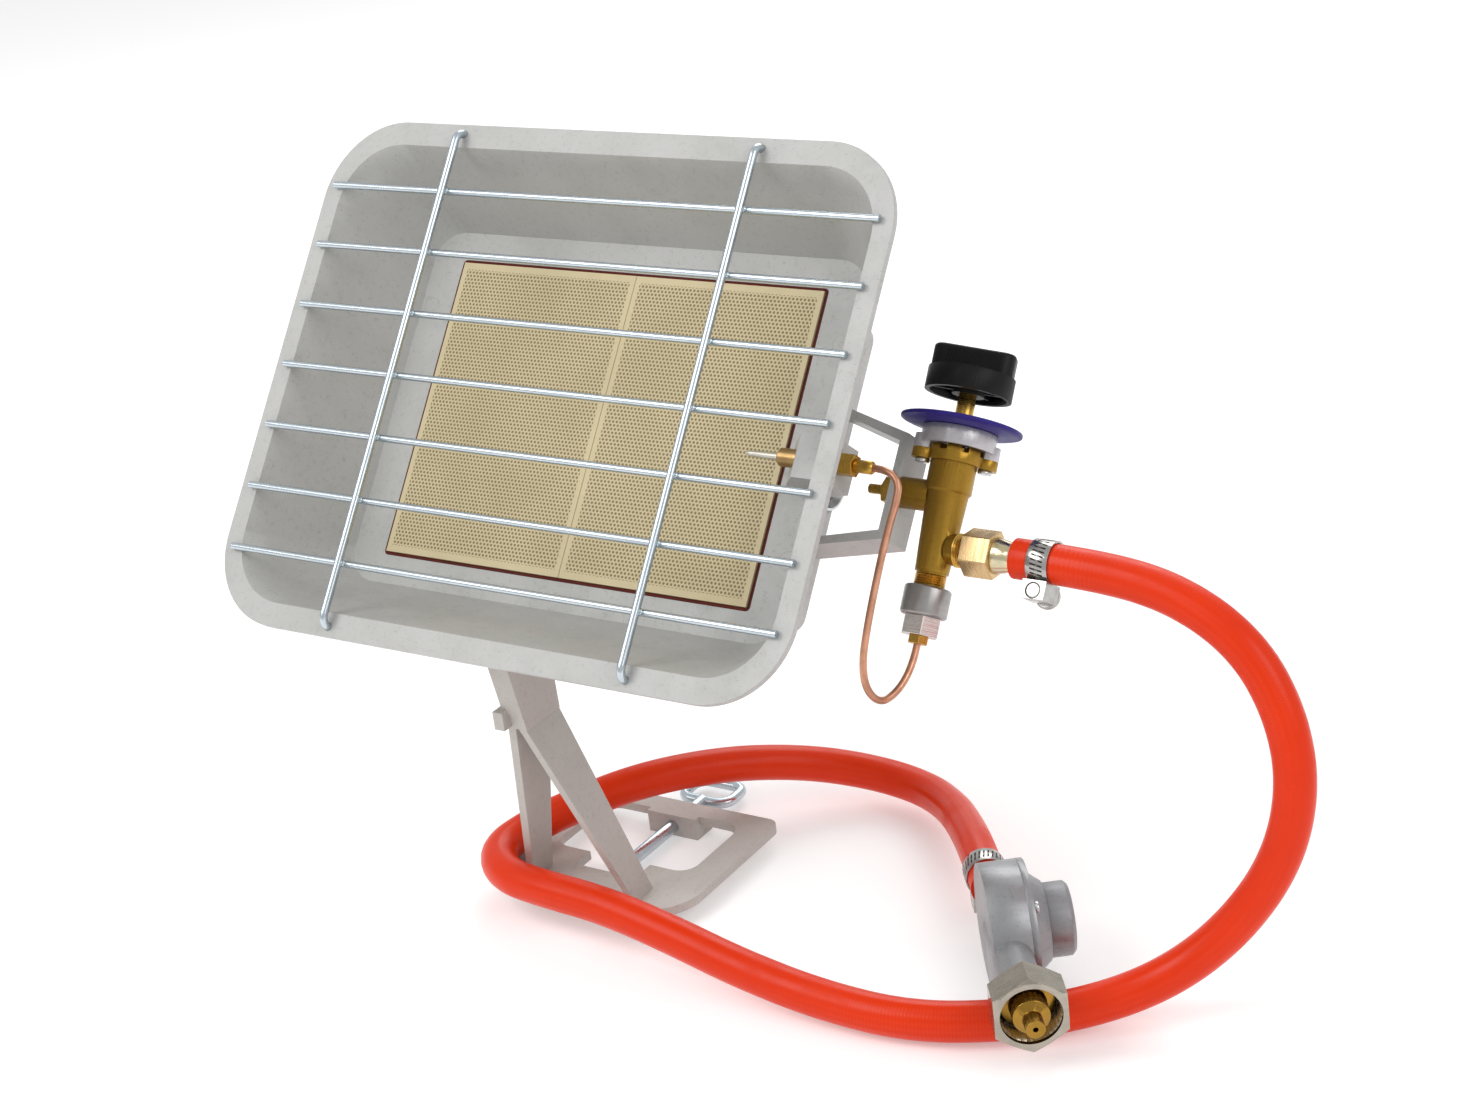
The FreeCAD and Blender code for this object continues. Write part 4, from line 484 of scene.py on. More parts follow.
# %% Turned metal
STAIN_SHADE = 0.72
STAIN_SHARE = 0.55


def turned_metal(name, color, roughness, lines, frame_matrix, depth=0.00002):
    """Machined metal with fine rings about the Z of its own frame."""
    material, recipe, shader, vector = new_material(name, color, roughness, 1.0, frame_matrix)
    rings = use_group(recipe, "lathe lines", {"Vector": vector, "Lines per mm": lines})
    worn = use_group(recipe, "handling marks", {"Vector": vector, "Scale": 150.0})
    darker = (*[STAIN_SHADE * part for part in color], 1)
    stain = recipe.math("MULTIPLY", worn["Smudge"], STAIN_SHARE)
    recipe.feed(shader.inputs["Base Color"], recipe.blend(stain, (*color, 1), darker))
    uneven = recipe.ramp(rings["Shine"], 0.0, 1.0, roughness - 0.06, roughness + 0.1)
    recipe.feed(shader.inputs["Roughness"], uneven)
    bump(recipe, shader, rings["Height"], 0.3, depth)
    return material


OUTLET = place_in(VALVE, 0, 0, -OUTLET_DROP, ALONG_X)
PROBE = place_in(HEAD, 0, -8, -27, ALONG_X)
INLET = REGULATOR @ ALONG_X
turned_brass = turned_metal("turned_brass", (0.60, 0.36, 0.08), 0.24, 3.0, VALVE)
probe_brass = turned_metal("probe_brass", (0.52, 0.31, 0.06), 0.28, 3.0, PROBE)
inlet_brass = turned_metal("inlet_brass", (0.36, 0.20, 0.035), 0.2, 3.0, INLET)
bright_alloy = turned_metal("bright_alloy", (0.36, 0.35, 0.34), 0.34, 4.5, VALVE, 0.00003)
cap_alloy = turned_metal("cap_alloy", (0.74, 0.72, 0.70), 0.3, 2.0, VALVE)
nickel = turned_metal("nickel", (0.42, 0.38, 0.32), 0.2, 1.5, INLET)
yellow_zinc = turned_metal("yellow_zinc", (0.66, 0.47, 0.24), 0.26, 1.5, OUTLET)
probe_sleeve = turned_metal("probe_sleeve", (0.42, 0.27, 0.12), 0.34, 4.0, PROBE)
probe_tip = turned_metal("probe_tip", (0.72, 0.68, 0.60), 0.4, 2.0, PROBE)
print("materials so far:", len(bpy.data.materials))

# %% [markdown]
# ### Plated steel and copper
# Plated wire was never turned, so it shows no rings. It shows soft stains, a cool tint and a few
# thin scratches, and the hand-bent copper lead tarnishes in the same soft way.


# %% Plated metal
PLATING_STAIN = 0.8
SCRATCH_DULLNESS = 0.08


def plated_metal(name, color, tint, roughness, scale):
    """Plated steel: a bright skin with soft stains and fine scratches."""
    material, recipe, shader, vector = new_material(name, color, roughness, 1.0)
    worn = use_group(recipe, "handling marks", {"Vector": vector, "Scale": scale})
    stained = recipe.blend(recipe.math("MULTIPLY", worn["Smudge"], PLATING_STAIN), (*color, 1), (*tint, 1))
    recipe.feed(shader.inputs["Base Color"], stained)
    uneven = recipe.math("ADD", spread(recipe, worn["Smudge"], roughness, 0.08),
                         recipe.math("MULTIPLY", worn["Scratch"], SCRATCH_DULLNESS))
    recipe.feed(shader.inputs["Roughness"], uneven)
    bump(recipe, shader, worn["Scratch"], 0.1, 0.00001)
    return material


guard_zinc = plated_metal("guard_zinc", (0.56, 0.62, 0.66), (0.48, 0.545, 0.59), 0.26, 60.0)
plain_zinc = plated_metal("plain_zinc", (0.60, 0.61, 0.61), (0.44, 0.45, 0.46), 0.3, 120.0)
spring_steel = plated_metal("spring_steel", (0.40, 0.40, 0.41), (0.28, 0.28, 0.30), 0.3, 200.0)
clamp_steel = plated_metal("clamp_steel", (0.44, 0.43, 0.41), (0.30, 0.29, 0.28), 0.24, 140.0)
tail_gold = plated_metal("tail_gold", (0.66, 0.58, 0.36), (0.50, 0.46, 0.36), 0.2, 160.0)
old_copper = plated_metal("old_copper", (0.66, 0.34, 0.22), (0.38, 0.19, 0.12), 0.34, 70.0)
print("metals ready:", len(bpy.data.materials))


# %% [markdown]
# ### Plastic and rubber
# The knob and the disc are moulded, with a low even gloss and a very fine texture. The gasket is
# a red fibre strip.

# %% Moulded plastic
RUBBED_SHARE = 0.6
RUBBED_GAIN = 1.35
RUBBED_LIFT = 0.004
PLASTIC_SPECULAR = 0.16


def moulded(name, color, roughness, grain, frame_matrix):
    """Moulded plastic or rubber with a fine spark-eroded texture."""
    material, recipe, shader, vector = new_material(name, color, roughness, 0.0, frame_matrix)
    skin = use_group(recipe, "cast grain", {"Vector": vector, "Grain": grain})
    worn = use_group(recipe, "handling marks", {"Vector": vector, "Scale": 110.0})
    lighter = (*[min(1.0, RUBBED_GAIN * part + RUBBED_LIFT) for part in color], 1)
    rubbed = recipe.math("MULTIPLY", worn["Smudge"], RUBBED_SHARE)
    recipe.feed(shader.inputs["Base Color"], recipe.blend(rubbed, (*color, 1), lighter))
    recipe.feed(shader.inputs["Roughness"], spread(recipe, skin["Cloud"], roughness, 0.08))
    shader.inputs["Specular IOR Level"].default_value = PLASTIC_SPECULAR
    bump(recipe, shader, skin["Height"], 0.3, 0.00006)
    return material


black_plastic = moulded("black_plastic", (0.006, 0.0055, 0.0065), 0.44, 3000.0, VALVE)
dial_blue = moulded("dial_blue", (0.022, 0.014, 0.16), 0.4, 3000.0, VALVE)
seal_rubber = moulded("seal_rubber", (0.02, 0.02, 0.02), 0.6, 2000.0, VALVE)
gasket_red = moulded("gasket_red", (0.10, 0.018, 0.012), 0.75, 1200.0, HEAD)
print("moulded materials made; all materials:", len(bpy.data.materials))

# %% [markdown]
# ### The perforated ceramic
# Each burner plate has thousands of small holes in staggered rows. The rows are worked out from
# the place on the plate: every second row moves half a step, and the distance to the nearest hole
# centre tells whether a point is inside a hole. A frame of plain ceramic stays round each plate.

# %% Group: perforations, the rows and columns
HOLE_PITCH = 1.85
HOLE_RADIUS = 0.56
HOLE_EDGE = 0.1
ROW_RATIO = 0.866
holes, given, result = new_group("perforations", [
    ("Vector", VECTOR, None), ("Pitch", FLOAT, HOLE_PITCH), ("Radius", FLOAT, HOLE_RADIUS),
    ("Half width", FLOAT, 43.5), ("Half height", FLOAT, 63.0), ("Centre", FLOAT, 46.05),
], [("Hole", FLOAT), ("Depth", FLOAT)])
split = holes.add("ShaderNodeSeparateXYZ", None, {"Vector": given["Vector"]})
sideways = holes.math("ABSOLUTE", holes.math("MULTIPLY", split.outputs[0], TO_MM))
across = holes.math("SUBTRACT", sideways, given["Centre"])
upward = holes.math("MULTIPLY", split.outputs[1], TO_MM)
row_height = holes.math("MULTIPLY", given["Pitch"], ROW_RATIO)
row = holes.math("DIVIDE", upward, row_height)
odd_row = holes.math("FLOORED_MODULO", holes.math("FLOOR", row), 2.0)
half_step = holes.math("MULTIPLY", odd_row, 0.5)
column = holes.math("ADD", holes.math("DIVIDE", across, given["Pitch"]), half_step)
print("rows are", round(HOLE_PITCH * ROW_RATIO, 2), "mm apart")

# %% Group: perforations, the holes
from_column = holes.math("SUBTRACT", holes.math("FRACT", column), 0.5)
from_row = holes.math("MULTIPLY", holes.math("SUBTRACT", holes.math("FRACT", row), 0.5), ROW_RATIO)
squares = holes.math("ADD", holes.math("POWER", holes.math("ABSOLUTE", from_column), 2.0),
                     holes.math("POWER", holes.math("ABSOLUTE", from_row), 2.0))
distance = holes.math("MULTIPLY", holes.math("SQRT", squares), given["Pitch"])
edge_start = holes.math("SUBTRACT", given["Radius"], HOLE_EDGE)
edge_end = holes.math("ADD", given["Radius"], HOLE_EDGE)
in_hole = holes.math("SUBTRACT", 1.0, holes.ramp(distance, edge_start, edge_end))
in_width = holes.math("LESS_THAN", holes.math("ABSOLUTE", across), given["Half width"])
in_height = holes.math("LESS_THAN", holes.math("ABSOLUTE", upward), given["Half height"])
shown = holes.math("MULTIPLY", in_hole, holes.math("MULTIPLY", in_width, in_height))
holes.feed(result["Hole"], shown)
holes.feed(result["Depth"], holes.math("SUBTRACT", 1.0, shown))
print("made", holes.tree.name)

# %% Ceramic
ceramic, recipe, shader, vector = new_material("ceramic", (0.62, 0.53, 0.33), 0.85, 0.0, HEAD)
pores = use_group(recipe, "perforations", {"Vector": vector})
skin = use_group(recipe, "cast grain", {"Vector": vector, "Grain": 1400.0})
LIGHT_CERAMIC = (0.66, 0.56, 0.35, 1)
DARK_CERAMIC = (0.58, 0.49, 0.30, 1)
# Painted shade: each hole is coloured dark brown, standing in for the shade inside it.
PAINTED_HOLE_SHADE = (0.20, 0.145, 0.06, 1)
body_color = recipe.blend(recipe.math("MULTIPLY", skin["Cloud"], 0.6), LIGHT_CERAMIC, DARK_CERAMIC)
pierced = recipe.blend(recipe.math("MULTIPLY", pores["Hole"], 0.85), body_color, PAINTED_HOLE_SHADE)
recipe.feed(shader.inputs["Base Color"], pierced)
relief = recipe.math("ADD", pores["Depth"], recipe.math("MULTIPLY", skin["Height"], 0.15))
bump(recipe, shader, relief, 0.7, 0.0006)
print("ceramic has holes about", round(2 * HOLE_RADIUS, 1), "mm wide")

# %% [markdown]
# ### The hose's skin
# Gas hose has a woven inlay that shows through the rubber as a faint net of crossing threads. The
# bevelled curve carries coordinates along and around the tube, so two slanted waves over those
# coordinates draw the net, and a third, slow noise makes the orange uneven.

# %% Orange rubber
NET_LENGTHWISE = 2400.0
NET_AROUND = 9
LIGHT_ORANGE = (0.74, 0.036, 0.002, 1)
DARK_ORANGE = (0.62, 0.026, 0.001, 1)
THREAD_ORANGE = (0.86, 0.075, 0.018, 1)
orange, recipe, shader, vector = new_material("orange_rubber", (0.68, 0.045, 0.008), 0.36)
tube_place = recipe.add("ShaderNodeTexCoord").outputs["UV"]
split = recipe.add("ShaderNodeSeparateXYZ", None, {"Vector": tube_place})
lengthwise = recipe.math("MULTIPLY", split.outputs[0], NET_LENGTHWISE)
sideways = recipe.math("MULTIPLY", split.outputs[1], 2 * math.pi * NET_AROUND)
left_hand = recipe.math("SINE", recipe.math("ADD", lengthwise, sideways))
right_hand = recipe.math("SINE", recipe.math("SUBTRACT", lengthwise, sideways))
net = recipe.ramp(recipe.math("MULTIPLY", left_hand, right_hand), -0.2, 0.9)
patch = recipe.ramp(recipe.noise(vector, 16.0, 3.0, 0.6), 0.42, 0.62)
faint_net = recipe.math("MULTIPLY", net, patch)
base = recipe.blend(recipe.noise(vector, 30.0, 4.0, 0.6), LIGHT_ORANGE, DARK_ORANGE)
netted = recipe.blend(recipe.math("MULTIPLY", faint_net, 0.2), base, THREAD_ORANGE)
recipe.feed(shader.inputs["Base Color"], netted)
shader.inputs["Specular IOR Level"].default_value = 0.2
rubber = use_group(recipe, "handling marks", {"Vector": vector, "Scale": 40.0})
recipe.feed(shader.inputs["Roughness"], recipe.ramp(rubber["Smudge"], 0.0, 1.0, 0.3, 0.46))
bump(recipe, shader, faint_net, 0.25, 0.0002)
hose.data.materials.append(orange)
lead.data.materials.append(old_copper)
print("hose wears", orange.name, "and lead wears", old_copper.name)

# %% [markdown]
# ## Dressing the solids
# A solid comes with knife-sharp edges and no finish. Edges of cast and turned pieces are broken by
# a small bevel, added as a modifier so the solid's own mesh stays as it is: the split corners are
# welded, flat triangles are merged, and only the remaining sharp edges get a narrow round.


# %% Soft edges and a finish
WELD_REACH = 0.00001
FLAT_ANGLE = 1
SHARP_ANGLE = 35


def soften(piece, width):
    """Breaks the sharp edges of a solid by a width in millimetres, with modifiers alone."""
    weld = piece.modifiers.new("weld", "WELD")
    weld.merge_threshold = WELD_REACH
    merge = piece.modifiers.new("merge flats", "DECIMATE")
    merge.decimate_type = "DISSOLVE"
    merge.angle_limit = math.radians(FLAT_ANGLE)
    edges = piece.modifiers.new("soft edges", "BEVEL")
    edges.width = width * MM
    edges.segments = 2
    edges.limit_method = "ANGLE"
    edges.angle_limit = math.radians(SHARP_ANGLE)
    edges.harden_normals = True


def dress(name, material, edge):
    """Gives a solid its finish, and softens its edges where a width is given."""
    piece = nodes[name]
    piece.data.materials.clear()
    piece.data.materials.append(material)
    if edge:
        soften(piece, edge)


print("edges over", SHARP_ANGLE, "degrees are softened")

# %% [markdown]
# ### Which piece wears what
# One table holds each solid's finish and the width of its softened edges. A width of nothing leaves
# a solid as it is, which suits round wire, the probe, the burner plates and most pieces inside.

# %% The finish of each solid
FINISHES = {
    "reflector_housing": (head_grey, 0.8),
    "plenum_cover": (head_grey, 0.6),
    "stand_casting": (stand_grey, 0.5),
    "guard_cross_wires": (guard_zinc, 0),
    "guard_uprights": (guard_zinc, 0),
    "clamp_screw": (guard_zinc, 0),
    "clamp_pad": (plain_zinc, 0.2),
    "ceramic_plate_left": (ceramic, 0),
    "ceramic_plate_right": (ceramic, 0),
    "plaque_gasket": (gasket_red, 0),
    "plaque_retainer": (plain_zinc, 0.2),
    "gas_baffle": (plain_zinc, 0),
    "mixing_tube": (plain_zinc, 0),
    "plenum_screws": (plain_zinc, 0.3),
    "stand_bolts": (plain_zinc, 0.4),
    "thermocouple_tip": (probe_tip, 0),
    "thermocouple_sleeve": (probe_sleeve, 0),
    "thermocouple_nut": (probe_brass, 0.3),
    "lead_ferrule": (probe_brass, 0.2),
    "injector": (probe_brass, 0.3),
    "valve_body": (cast_brass, 0.3),
    "valve_stem": (turned_brass, 0.2),
    "valve_plug": (turned_brass, 0),
    "lead_union_nut": (turned_brass, 0.3),
    "bonnet_ring": (bonnet_zinc, 0.3),
    "bonnet_screws": (plain_zinc, 0.2),
    "stem_seal": (seal_rubber, 0),
    "dial_disc": (dial_blue, 0.4),
    "control_knob": (black_plastic, 0.5),
    "magnet_unit": (spring_steel, 0),
    "magnet_housing": (bright_alloy, 0.3),
    "magnet_cap": (cap_alloy, 0.3),
    "hose_union_nut": (yellow_zinc, 0.4),
    "hose_tail": (tail_gold, 0.2),
    "valve_hose_clamp": (clamp_steel, 0.35),
    "regulator_hose_clamp": (clamp_steel, 0.35),
    "valve_clamp_screw": (clamp_steel, 0.8),
    "regulator_clamp_screw": (clamp_steel, 0.8),
    "regulator_body": (bare_zinc, 0.5),
    "regulator_cover": (bare_zinc, 0.5),
    "regulator_cap": (bare_zinc, 0.3),
    "regulator_diaphragm": (seal_rubber, 0),
    "regulator_spring": (spring_steel, 0),
    "regulator_screws": (plain_zinc, 0.3),
    "bottle_nut": (nickel, 0.4),
    "inlet_nipple": (inlet_brass, 0.2),
}
for name, (material, edge) in FINISHES.items():
    dress(name, material, edge)
plain = sorted(set(nodes) - set(FINISHES) - {"gas_hose", "thermocouple_lead", "stem_spring"})
print("solids without a finish:", plain)

# %% [markdown]
# ## Small details
# Threads, clamp slots, screw recesses, weld beads and cast marks are too fine for the solids, so
# they are meshes of their own. Each is written in the frame of the piece that carries it, and most
# are one closed shape repeated by a loop.

# %% Meshes in a frame
def new_piece(name, points, faces, place, material, body="heater"):
    """A mesh from points in millimetres of a frame, which rides on a body."""
    mesh = bpy.data.meshes.new(name)
    mesh.from_pydata([Vector(point) * MM for point in points], [], faces)
    mesh.materials.append(material)
    piece = bpy.data.objects.new(name, mesh)
    piece.matrix_world = place
    bpy.context.scene.collection.objects.link(piece)
    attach(piece, body)
    return piece


def tube_faces(rings, corners):
    """The faces of a closed tube: rings of corners joined in a row, with a cap at each end."""
    faces = []
    for ring in range(rings - 1):
        for corner in range(corners):
            following = (corner + 1) % corners
            faces.append((ring * corners + corner, ring * corners + following,
                          (ring + 1) * corners + following, (ring + 1) * corners + corner))
    faces.append(tuple(reversed(range(corners))))
    faces.append(tuple(range((rings - 1) * corners, rings * corners)))
    return faces


def on_circle(radius, degrees, height):
    """A point by its radius, its angle and its height."""
    turn = math.radians(degrees)
    return (radius * math.cos(turn), radius * math.sin(turn), height)


def faces_from(start, faces):
    """Faces whose points begin further down the list."""
    return [tuple(start + corner for corner in face) for face in faces]


def joined_blocks(blocks):
    """Points and faces of several eight-cornered blocks, each given as its lower and upper four."""
    points = []
    faces = []
    for block in blocks:
        faces += faces_from(len(points), tube_faces(2, 4))
        points += block
    return points, faces


print("a block has", len(tube_faces(2, 4)), "faces")

# %% [markdown]
# ### Threads
# The solids have plain cylinders where the real pieces are threaded. A thread is a ridge of three
# corners wound round the cylinder as one long closed tube. It could also be a screw modifier, but
# here the first and last turn are wanted inside the part, and a loop gives both ends exactly.


# %% Threads
THREAD_ROOT = 0.1


def thread(name, place, radius, depth, length, pitch, material, body="heater"):
    """A helical ridge on a cylinder, or in a bore where the depth is negative."""
    steps = 32
    count = int(length / pitch * steps)
    points = []
    for i in range(count + 1):
        low = (length - pitch) * i / count
        turn = 360 * i / steps
        root = radius - THREAD_ROOT * depth
        points.append(on_circle(root, turn, low))
        points.append(on_circle(radius + depth, turn, low + pitch / 2))
        points.append(on_circle(root, turn, low + pitch))
    new_piece(name, points, tube_faces(count + 1, 3), place, material, body)
    print(name, "has", round(length / pitch, 1), "turns")


OUTLET_THREAD = place_in(VALVE, 8.6, 0, -OUTLET_DROP, ALONG_X)
MAGNET_THREAD = place_in(VALVE, 0, 0, -36)
NUT_THREAD = place_in(REGULATOR, 55, 0, 0, ALONG_X)
thread("outlet_thread", OUTLET_THREAD, 6.3, 0.5, 5.6, 1.1, turned_brass)
thread("magnet_thread", MAGNET_THREAD, 6.0, 0.4, 5.4, 1.0, turned_brass)
thread("nut_thread", NUT_THREAD, 11.9, -0.7, 9.0, 1.6, nickel, "bottle_nut")

# %% [markdown]
# ### Slots of the worm clamps
# The band of a worm clamp is pierced by slanting slots, into which its screw bites. Cutting them
# with a boolean would rebuild the whole band, so each slot is a thin dark block of painted shade,
# standing in for the shade inside the slot, a few hundredths of a millimetre proud of the band.
# The screw's head gets the same kind of slot.


# %% Slots of the hose clamps
# Painted shade: one near-black material for every slot and recess, standing in for the shade inside them.
painted_recess_shade = moulded("painted_recess_shade", (0.02, 0.012, 0.01), 0.6, 2000.0, WORLD)
QUARTER = turned(90, "Z")
VALVE_CLAMP = place_in(VALVE, HOSE_START + 8, 0, -OUTLET_DROP, ALONG_X @ QUARTER)
REGULATOR_CLAMP = place_in(REGULATOR, -47, 0, 0, ALONG_X @ QUARTER)
PROUD = 0.03
BAND_OUTSIDE = 8.85
BAND_DEPTH = 0.2
SLOT_TURNS = range(-42, 223, 12)
SLOT_HALF_ANGLE = 2.3
SLOT_ENDS = ((1.9, -3), (7.1, 3))
HEAD_FACE = 9.5
HEAD_CENTRE = (-12.05, 4.5)
HEAD_SLOT = (4.4, 0.6, 0.4)


def band_slot(turn):
    """One slanting slot of a band, at an angle round it, as a dark block of painted shade."""
    low = BAND_OUTSIDE - BAND_DEPTH
    high = BAND_OUTSIDE + PROUD
    corners = ((low, -1), (high, -1), (high, 1), (low, 1))
    return [on_circle(reach, turn + side * SLOT_HALF_ANGLE + slant, height)
            for height, slant in SLOT_ENDS for reach, side in corners]


def head_slot():
    """The slot in the head of a clamp's screw, as a dark block of painted shade."""
    half, rise, depth = HEAD_SLOT
    middle, level = HEAD_CENTRE
    corners = ((-rise, -half), (rise, -half), (rise, half), (-rise, half))
    return [(along, middle + side, level + up)
            for along in (HEAD_FACE - depth, HEAD_FACE + PROUD) for up, side in corners]


for name, place in (("valve_clamp_slots", VALVE_CLAMP), ("regulator_clamp_slots", REGULATOR_CLAMP)):
    points, faces = joined_blocks([band_slot(turn) for turn in SLOT_TURNS] + [head_slot()])
    new_piece(name, points, faces, place, painted_recess_shade)
print("slots on each band:", len(SLOT_TURNS))

# %% [markdown]
# ### Cross recesses
# The eight screws of the rear cover and the four of the regulator have cross heads. Two crossed
# dark blocks of painted shade in each head read as the recess at this size, and one mesh holds all
# the crosses of one group of screws.


# %% Recesses of the cross-head screws
SLOT_HALF = 0.35
RECESS_DEPTH = 0.3


def cross_recesses(name, places, half):
    """A dark cross of painted shade in the head of each screw."""
    blocks = []
    for place in places:
        for across, along in ((SLOT_HALF, half), (half, SLOT_HALF)):
            corners = ((-across, -along), (across, -along), (across, along), (-across, along))
            levels = (-RECESS_DEPTH, PROUD)
            blocks.append([spot_in(place, x, y, z) / MM for z in levels for x, y in corners])
    points, faces = joined_blocks(blocks)
    new_piece(name, points, faces, WORLD, painted_recess_shade)
    print(name, "holds", len(places), "crosses")


FACING_BACK = turned(180, "X")
COVER_FACE = -54.5
COVER_SCREWS = [(104.6 * side, 45 * level) for side in (-1, 1) for level in (-1, 1)]
COVER_SCREWS += [(40 * side, 78 * level) for side in (-1, 1) for level in (-1, 1)]
REGULATOR_RING = 23.2
REGULATOR_FACE = 12.5
SCREW_RING = [on_circle(REGULATOR_RING, 45 + 90 * quarter, REGULATOR_FACE) for quarter in range(4)]
cross_recesses("cover_screw_recesses",
               [place_in(HEAD, x, y, COVER_FACE, FACING_BACK) for x, y in COVER_SCREWS], 1.9)
cross_recesses("regulator_screw_recesses",
               [place_in(REGULATOR @ ALONG_Y, *spot) for spot in SCREW_RING], 1.3)

# %% [markdown]
# ### Cast marks
# The floor of the dish shows a faint ring in front of each cover screw, where the metal is thicker
# behind and shrank as it cooled. A low ring of four corners, sunk a little into the floor, gives
# the soft edge that a bump in the finish would lose at a low angle.


# %% Cast marks on the dish floor
MARK_STEPS = 32
MARK_SECTION = ((3.5, -0.05), (3.65, 0.09), (3.95, 0.09), (4.1, -0.05))
DISH_FLOOR = -44.4


def cast_marks():
    """Faint rings in the dish floor, over the blind holes of the cover screws."""
    points = []
    faces = []
    for x, y in COVER_SCREWS:
        start = len(points)
        for i in range(MARK_STEPS):
            for reach, height in MARK_SECTION:
                spot = on_circle(reach, 360 * i / MARK_STEPS, height)
                points.append((x + spot[0], y + spot[1], spot[2]))
        for i in range(MARK_STEPS):
            here = start + 4 * i
            there = start + 4 * ((i + 1) % MARK_STEPS)
            faces += [(here + k, there + k, there + (k + 1) % 4, here + (k + 1) % 4) for k in range(4)]
    new_piece("cast_marks", points, faces, place_in(HEAD, 0, 0, DISH_FLOOR), head_grey)
    print("rings on the floor:", len(COVER_SCREWS))


cast_marks()

# %% [markdown]
# ### Weld beads
# Each cross wire of the guard is spot welded to both uprights, and a weld leaves a small flattened
# bead. A flattened ball at each crossing is enough, since only its upper half is ever seen.


# %% Weld beads of the guard
UPRIGHT_X = 74.6
WIRE_STEP = 27.3
WIRE_ROWS = range(-3, 4)
BEAD_SIZE = (2.2, 1.75, 0.9)
BEAD_LEVEL = 3.0
BEAD_STEPS = 12
BEAD_RINGS = 7


def bead(x, y):
    """The points of one flattened ball."""
    wide, high, deep = BEAD_SIZE
    points = []
    for ring in range(BEAD_RINGS):
        lift = math.pi * (ring + 0.5) / BEAD_RINGS
        for i in range(BEAD_STEPS):
            spot = on_circle(math.sin(lift), 360 * i / BEAD_STEPS, -math.cos(lift))
            points.append((x + wide * spot[0], y + high * spot[1], BEAD_LEVEL + deep * spot[2]))
    return points


points = []
faces = []
for x in (-UPRIGHT_X, UPRIGHT_X):
    for row in WIRE_ROWS:
        faces += faces_from(len(points), tube_faces(BEAD_RINGS, BEAD_STEPS))
        points += bead(x, WIRE_STEP * row)
beads = new_piece("weld_beads", points, faces, HEAD, guard_zinc)
for polygon in beads.data.polygons:
    polygon.use_smooth = True
print("weld beads made:", 2 * len(WIRE_ROWS))

# %% [markdown]
# ### The valve's spring
# Under the collar of the stem sits a spring, and pushing the knob shortens it. The spring is drawn
# again as a wound tube, with its lower end in its seat and a mesh of its own.


# %% The spring under the stem's collar
SPRING_HEIGHT = 11.35
SPRING_SEAT = 10
SPRING_TURNS = 4
SPRING_RADIUS = 4.8
WIRE_RADIUS = 0.6
STEPS_PER_TURN = 24
WIRE_CORNERS = 8


def coil_spring():
    """A round-wire spring wound from its seat under the stem's collar."""
    count = SPRING_TURNS * STEPS_PER_TURN
    points = []
    for i in range(count + 1):
        turn = 360 * i / STEPS_PER_TURN
        height = WIRE_RADIUS + (SPRING_HEIGHT - 2 * WIRE_RADIUS) * i / count
        for corner in range(WIRE_CORNERS):
            out, up, _ = on_circle(WIRE_RADIUS, 360 * corner / WIRE_CORNERS, 0)
            points.append(on_circle(SPRING_RADIUS + out, turn, height + up))
    place = place_in(VALVE, 0, 0, SPRING_SEAT)
    return new_piece("coil_spring", points, tube_faces(count + 1, WIRE_CORNERS), place, spring_steel)


coil = coil_spring()
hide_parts("stem_spring")
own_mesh(coil)

# %% [markdown]
# ### Ribs of the knob
# The broad sides of the knob's grip carry fine upright ribs for the fingers. They ride on the
# knob's own body, so they turn and sink with it, and each is a block narrower at its outer side, as
# a moulded rib has to be to leave its mould.


# %% Ribs of the knob's grip
RIB_STEP = 0.9
RIB_PLACES = range(-12, 13)
RIB_ROOT = (6.9, 0.22)
RIB_TOP = (7.2, 0.1)
RIB_HEIGHTS = (51.0, 58.0)
GRIP_TURN = 20


def grip_rib(side, x):
    """One rib on one side of the grip."""
    near, broad = RIB_ROOT
    far, narrow = RIB_TOP
    corners = ((x - broad, side * near), (x + broad, side * near), (x + narrow, side * far),
               (x - narrow, side * far))
    return [(along, out, height) for height in RIB_HEIGHTS for along, out in corners]


ribs = [grip_rib(side, RIB_STEP * step) for side in (-1, 1) for step in RIB_PLACES]
points, faces = joined_blocks(ribs)
new_piece("grip_ribs", points, faces, VALVE @ turned(GRIP_TURN, "Z"), black_plastic, "knob")
print("knob has", len(ribs), "fine ribs")

# %% [markdown]
# ## The room
# The photograph has a plain white ground and very soft light from above and from the left. A big
# pale floor, a bright even sky and three large soft lamps give that, with a faint shadow under
# the stand.

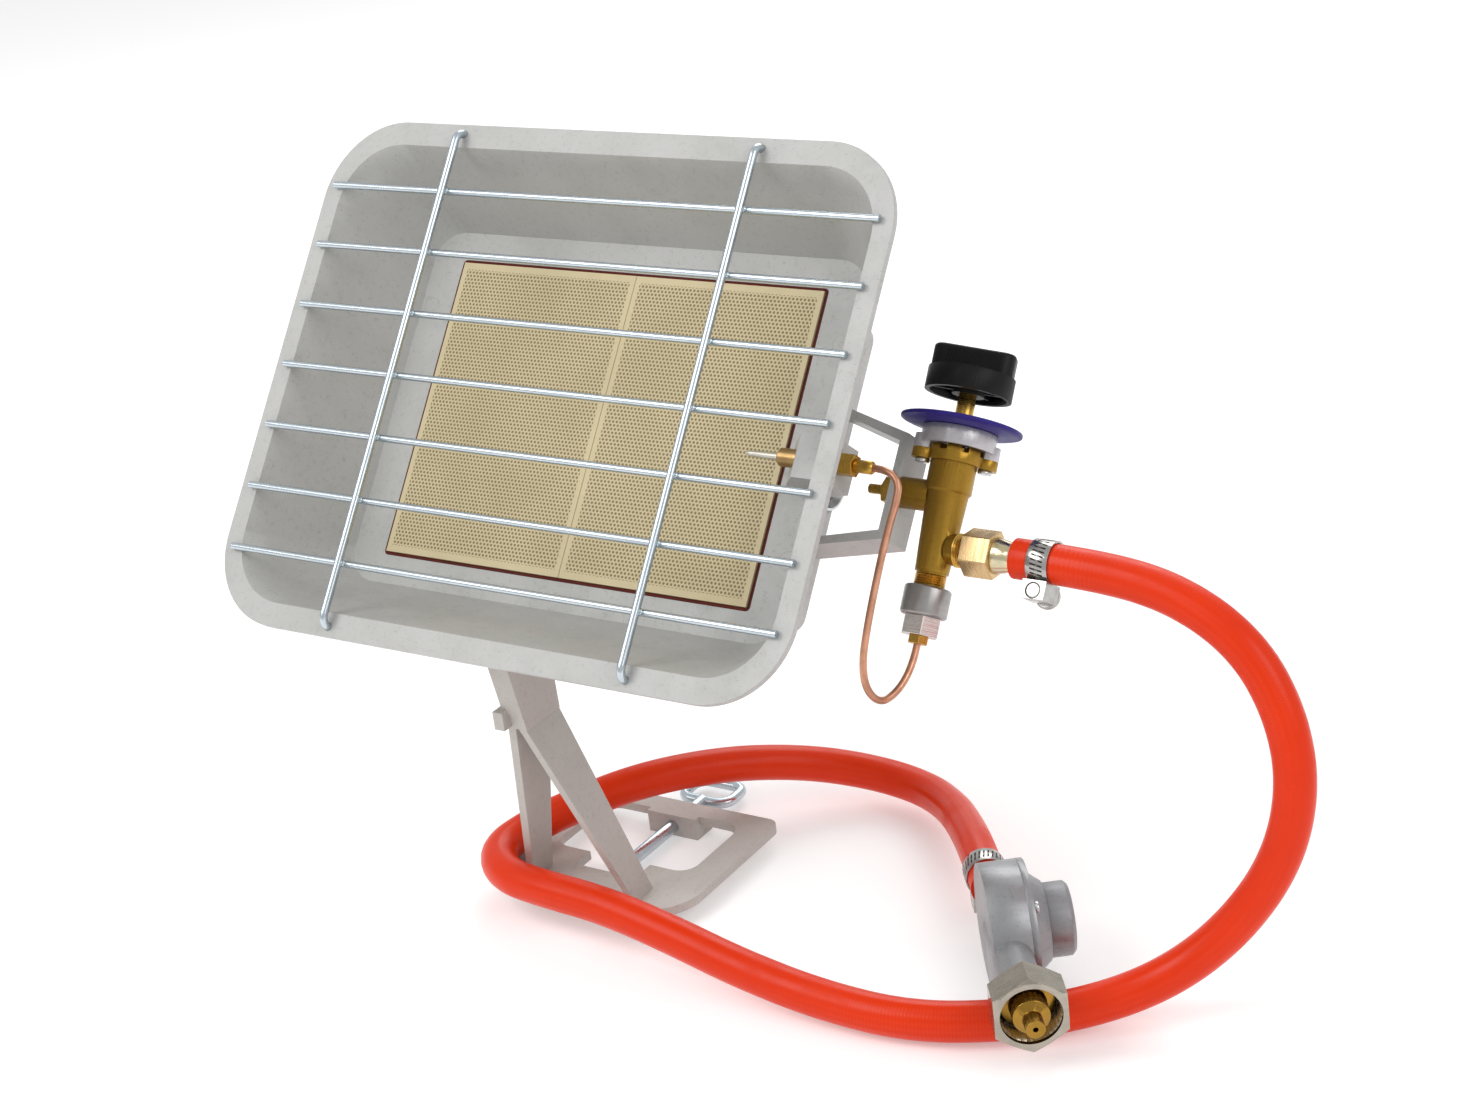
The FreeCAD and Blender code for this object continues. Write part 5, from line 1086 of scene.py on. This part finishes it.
# %% Floor
FLOOR_REACH = 6.0
FLOOR_GLOW = 0.28
floor_corners = [(x * FLOOR_REACH, y * FLOOR_REACH, 0) for x, y in ((-1, -1), (1, -1), (1, 1), (-1, 1))]
floor_mesh = bpy.data.meshes.new("floor")
floor_mesh.from_pydata(floor_corners, [], [(0, 1, 2, 3)])
floor = bpy.data.objects.new("floor", floor_mesh)
bpy.context.scene.collection.objects.link(floor)
floor_paint, _, shader, _ = new_material("floor_paint", (0.80, 0.80, 0.80), 0.9)
shader.inputs["Specular IOR Level"].default_value = 0.0
shader.inputs["Emission Color"].default_value = (1, 1, 1, 1)
shader.inputs["Emission Strength"].default_value = FLOOR_GLOW
floor_mesh.materials.append(floor_paint)
print("floor is", 2 * FLOOR_REACH, "m wide")

# %% [markdown]
# ### Lamps and sky
# A large lamp gives soft edges to every shadow, as a tent of white cloth does in a studio. The key
# lamp stands at the left in front, a weak one at the right opens the dark side of the valve, and
# one behind draws the rim of the dish. The even sky fills what is left.


# %% Lamps
LAMP_TARGET = Vector((0.06, -0.03, 0.12))


def soft_lamp(name, place, size, power):
    """A large soft lamp that faces the heater."""
    data = bpy.data.lights.new(name, "AREA")
    data.size = size
    data.energy = power
    lamp = bpy.data.objects.new(name, data)
    bpy.context.scene.collection.objects.link(lamp)
    lamp.location = place
    lamp.rotation_euler = (LAMP_TARGET - Vector(place)).to_track_quat("-Z", "Y").to_euler()
    print(name, "gives", power, "W")


soft_lamp("key_lamp", (-0.9, -1.3, 1.7), 1.2, 20)
soft_lamp("side_lamp", (1.5, -0.3, 1.2), 0.9, 7)
soft_lamp("back_lamp", (-0.4, 1.4, 1.3), 1.2, 12)

# %% Sky
SKY_STRENGTH = 0.7
sky = bpy.data.worlds.new("sky")
sky.use_nodes = True
background = sky.node_tree.nodes["Background"]
background.inputs["Color"].default_value = (1, 1, 1, 1)
background.inputs["Strength"].default_value = SKY_STRENGTH
bpy.context.scene.world = sky
bpy.context.scene.view_settings.view_transform = "Standard"
print("sky strength is", SKY_STRENGTH)

# %% [markdown]
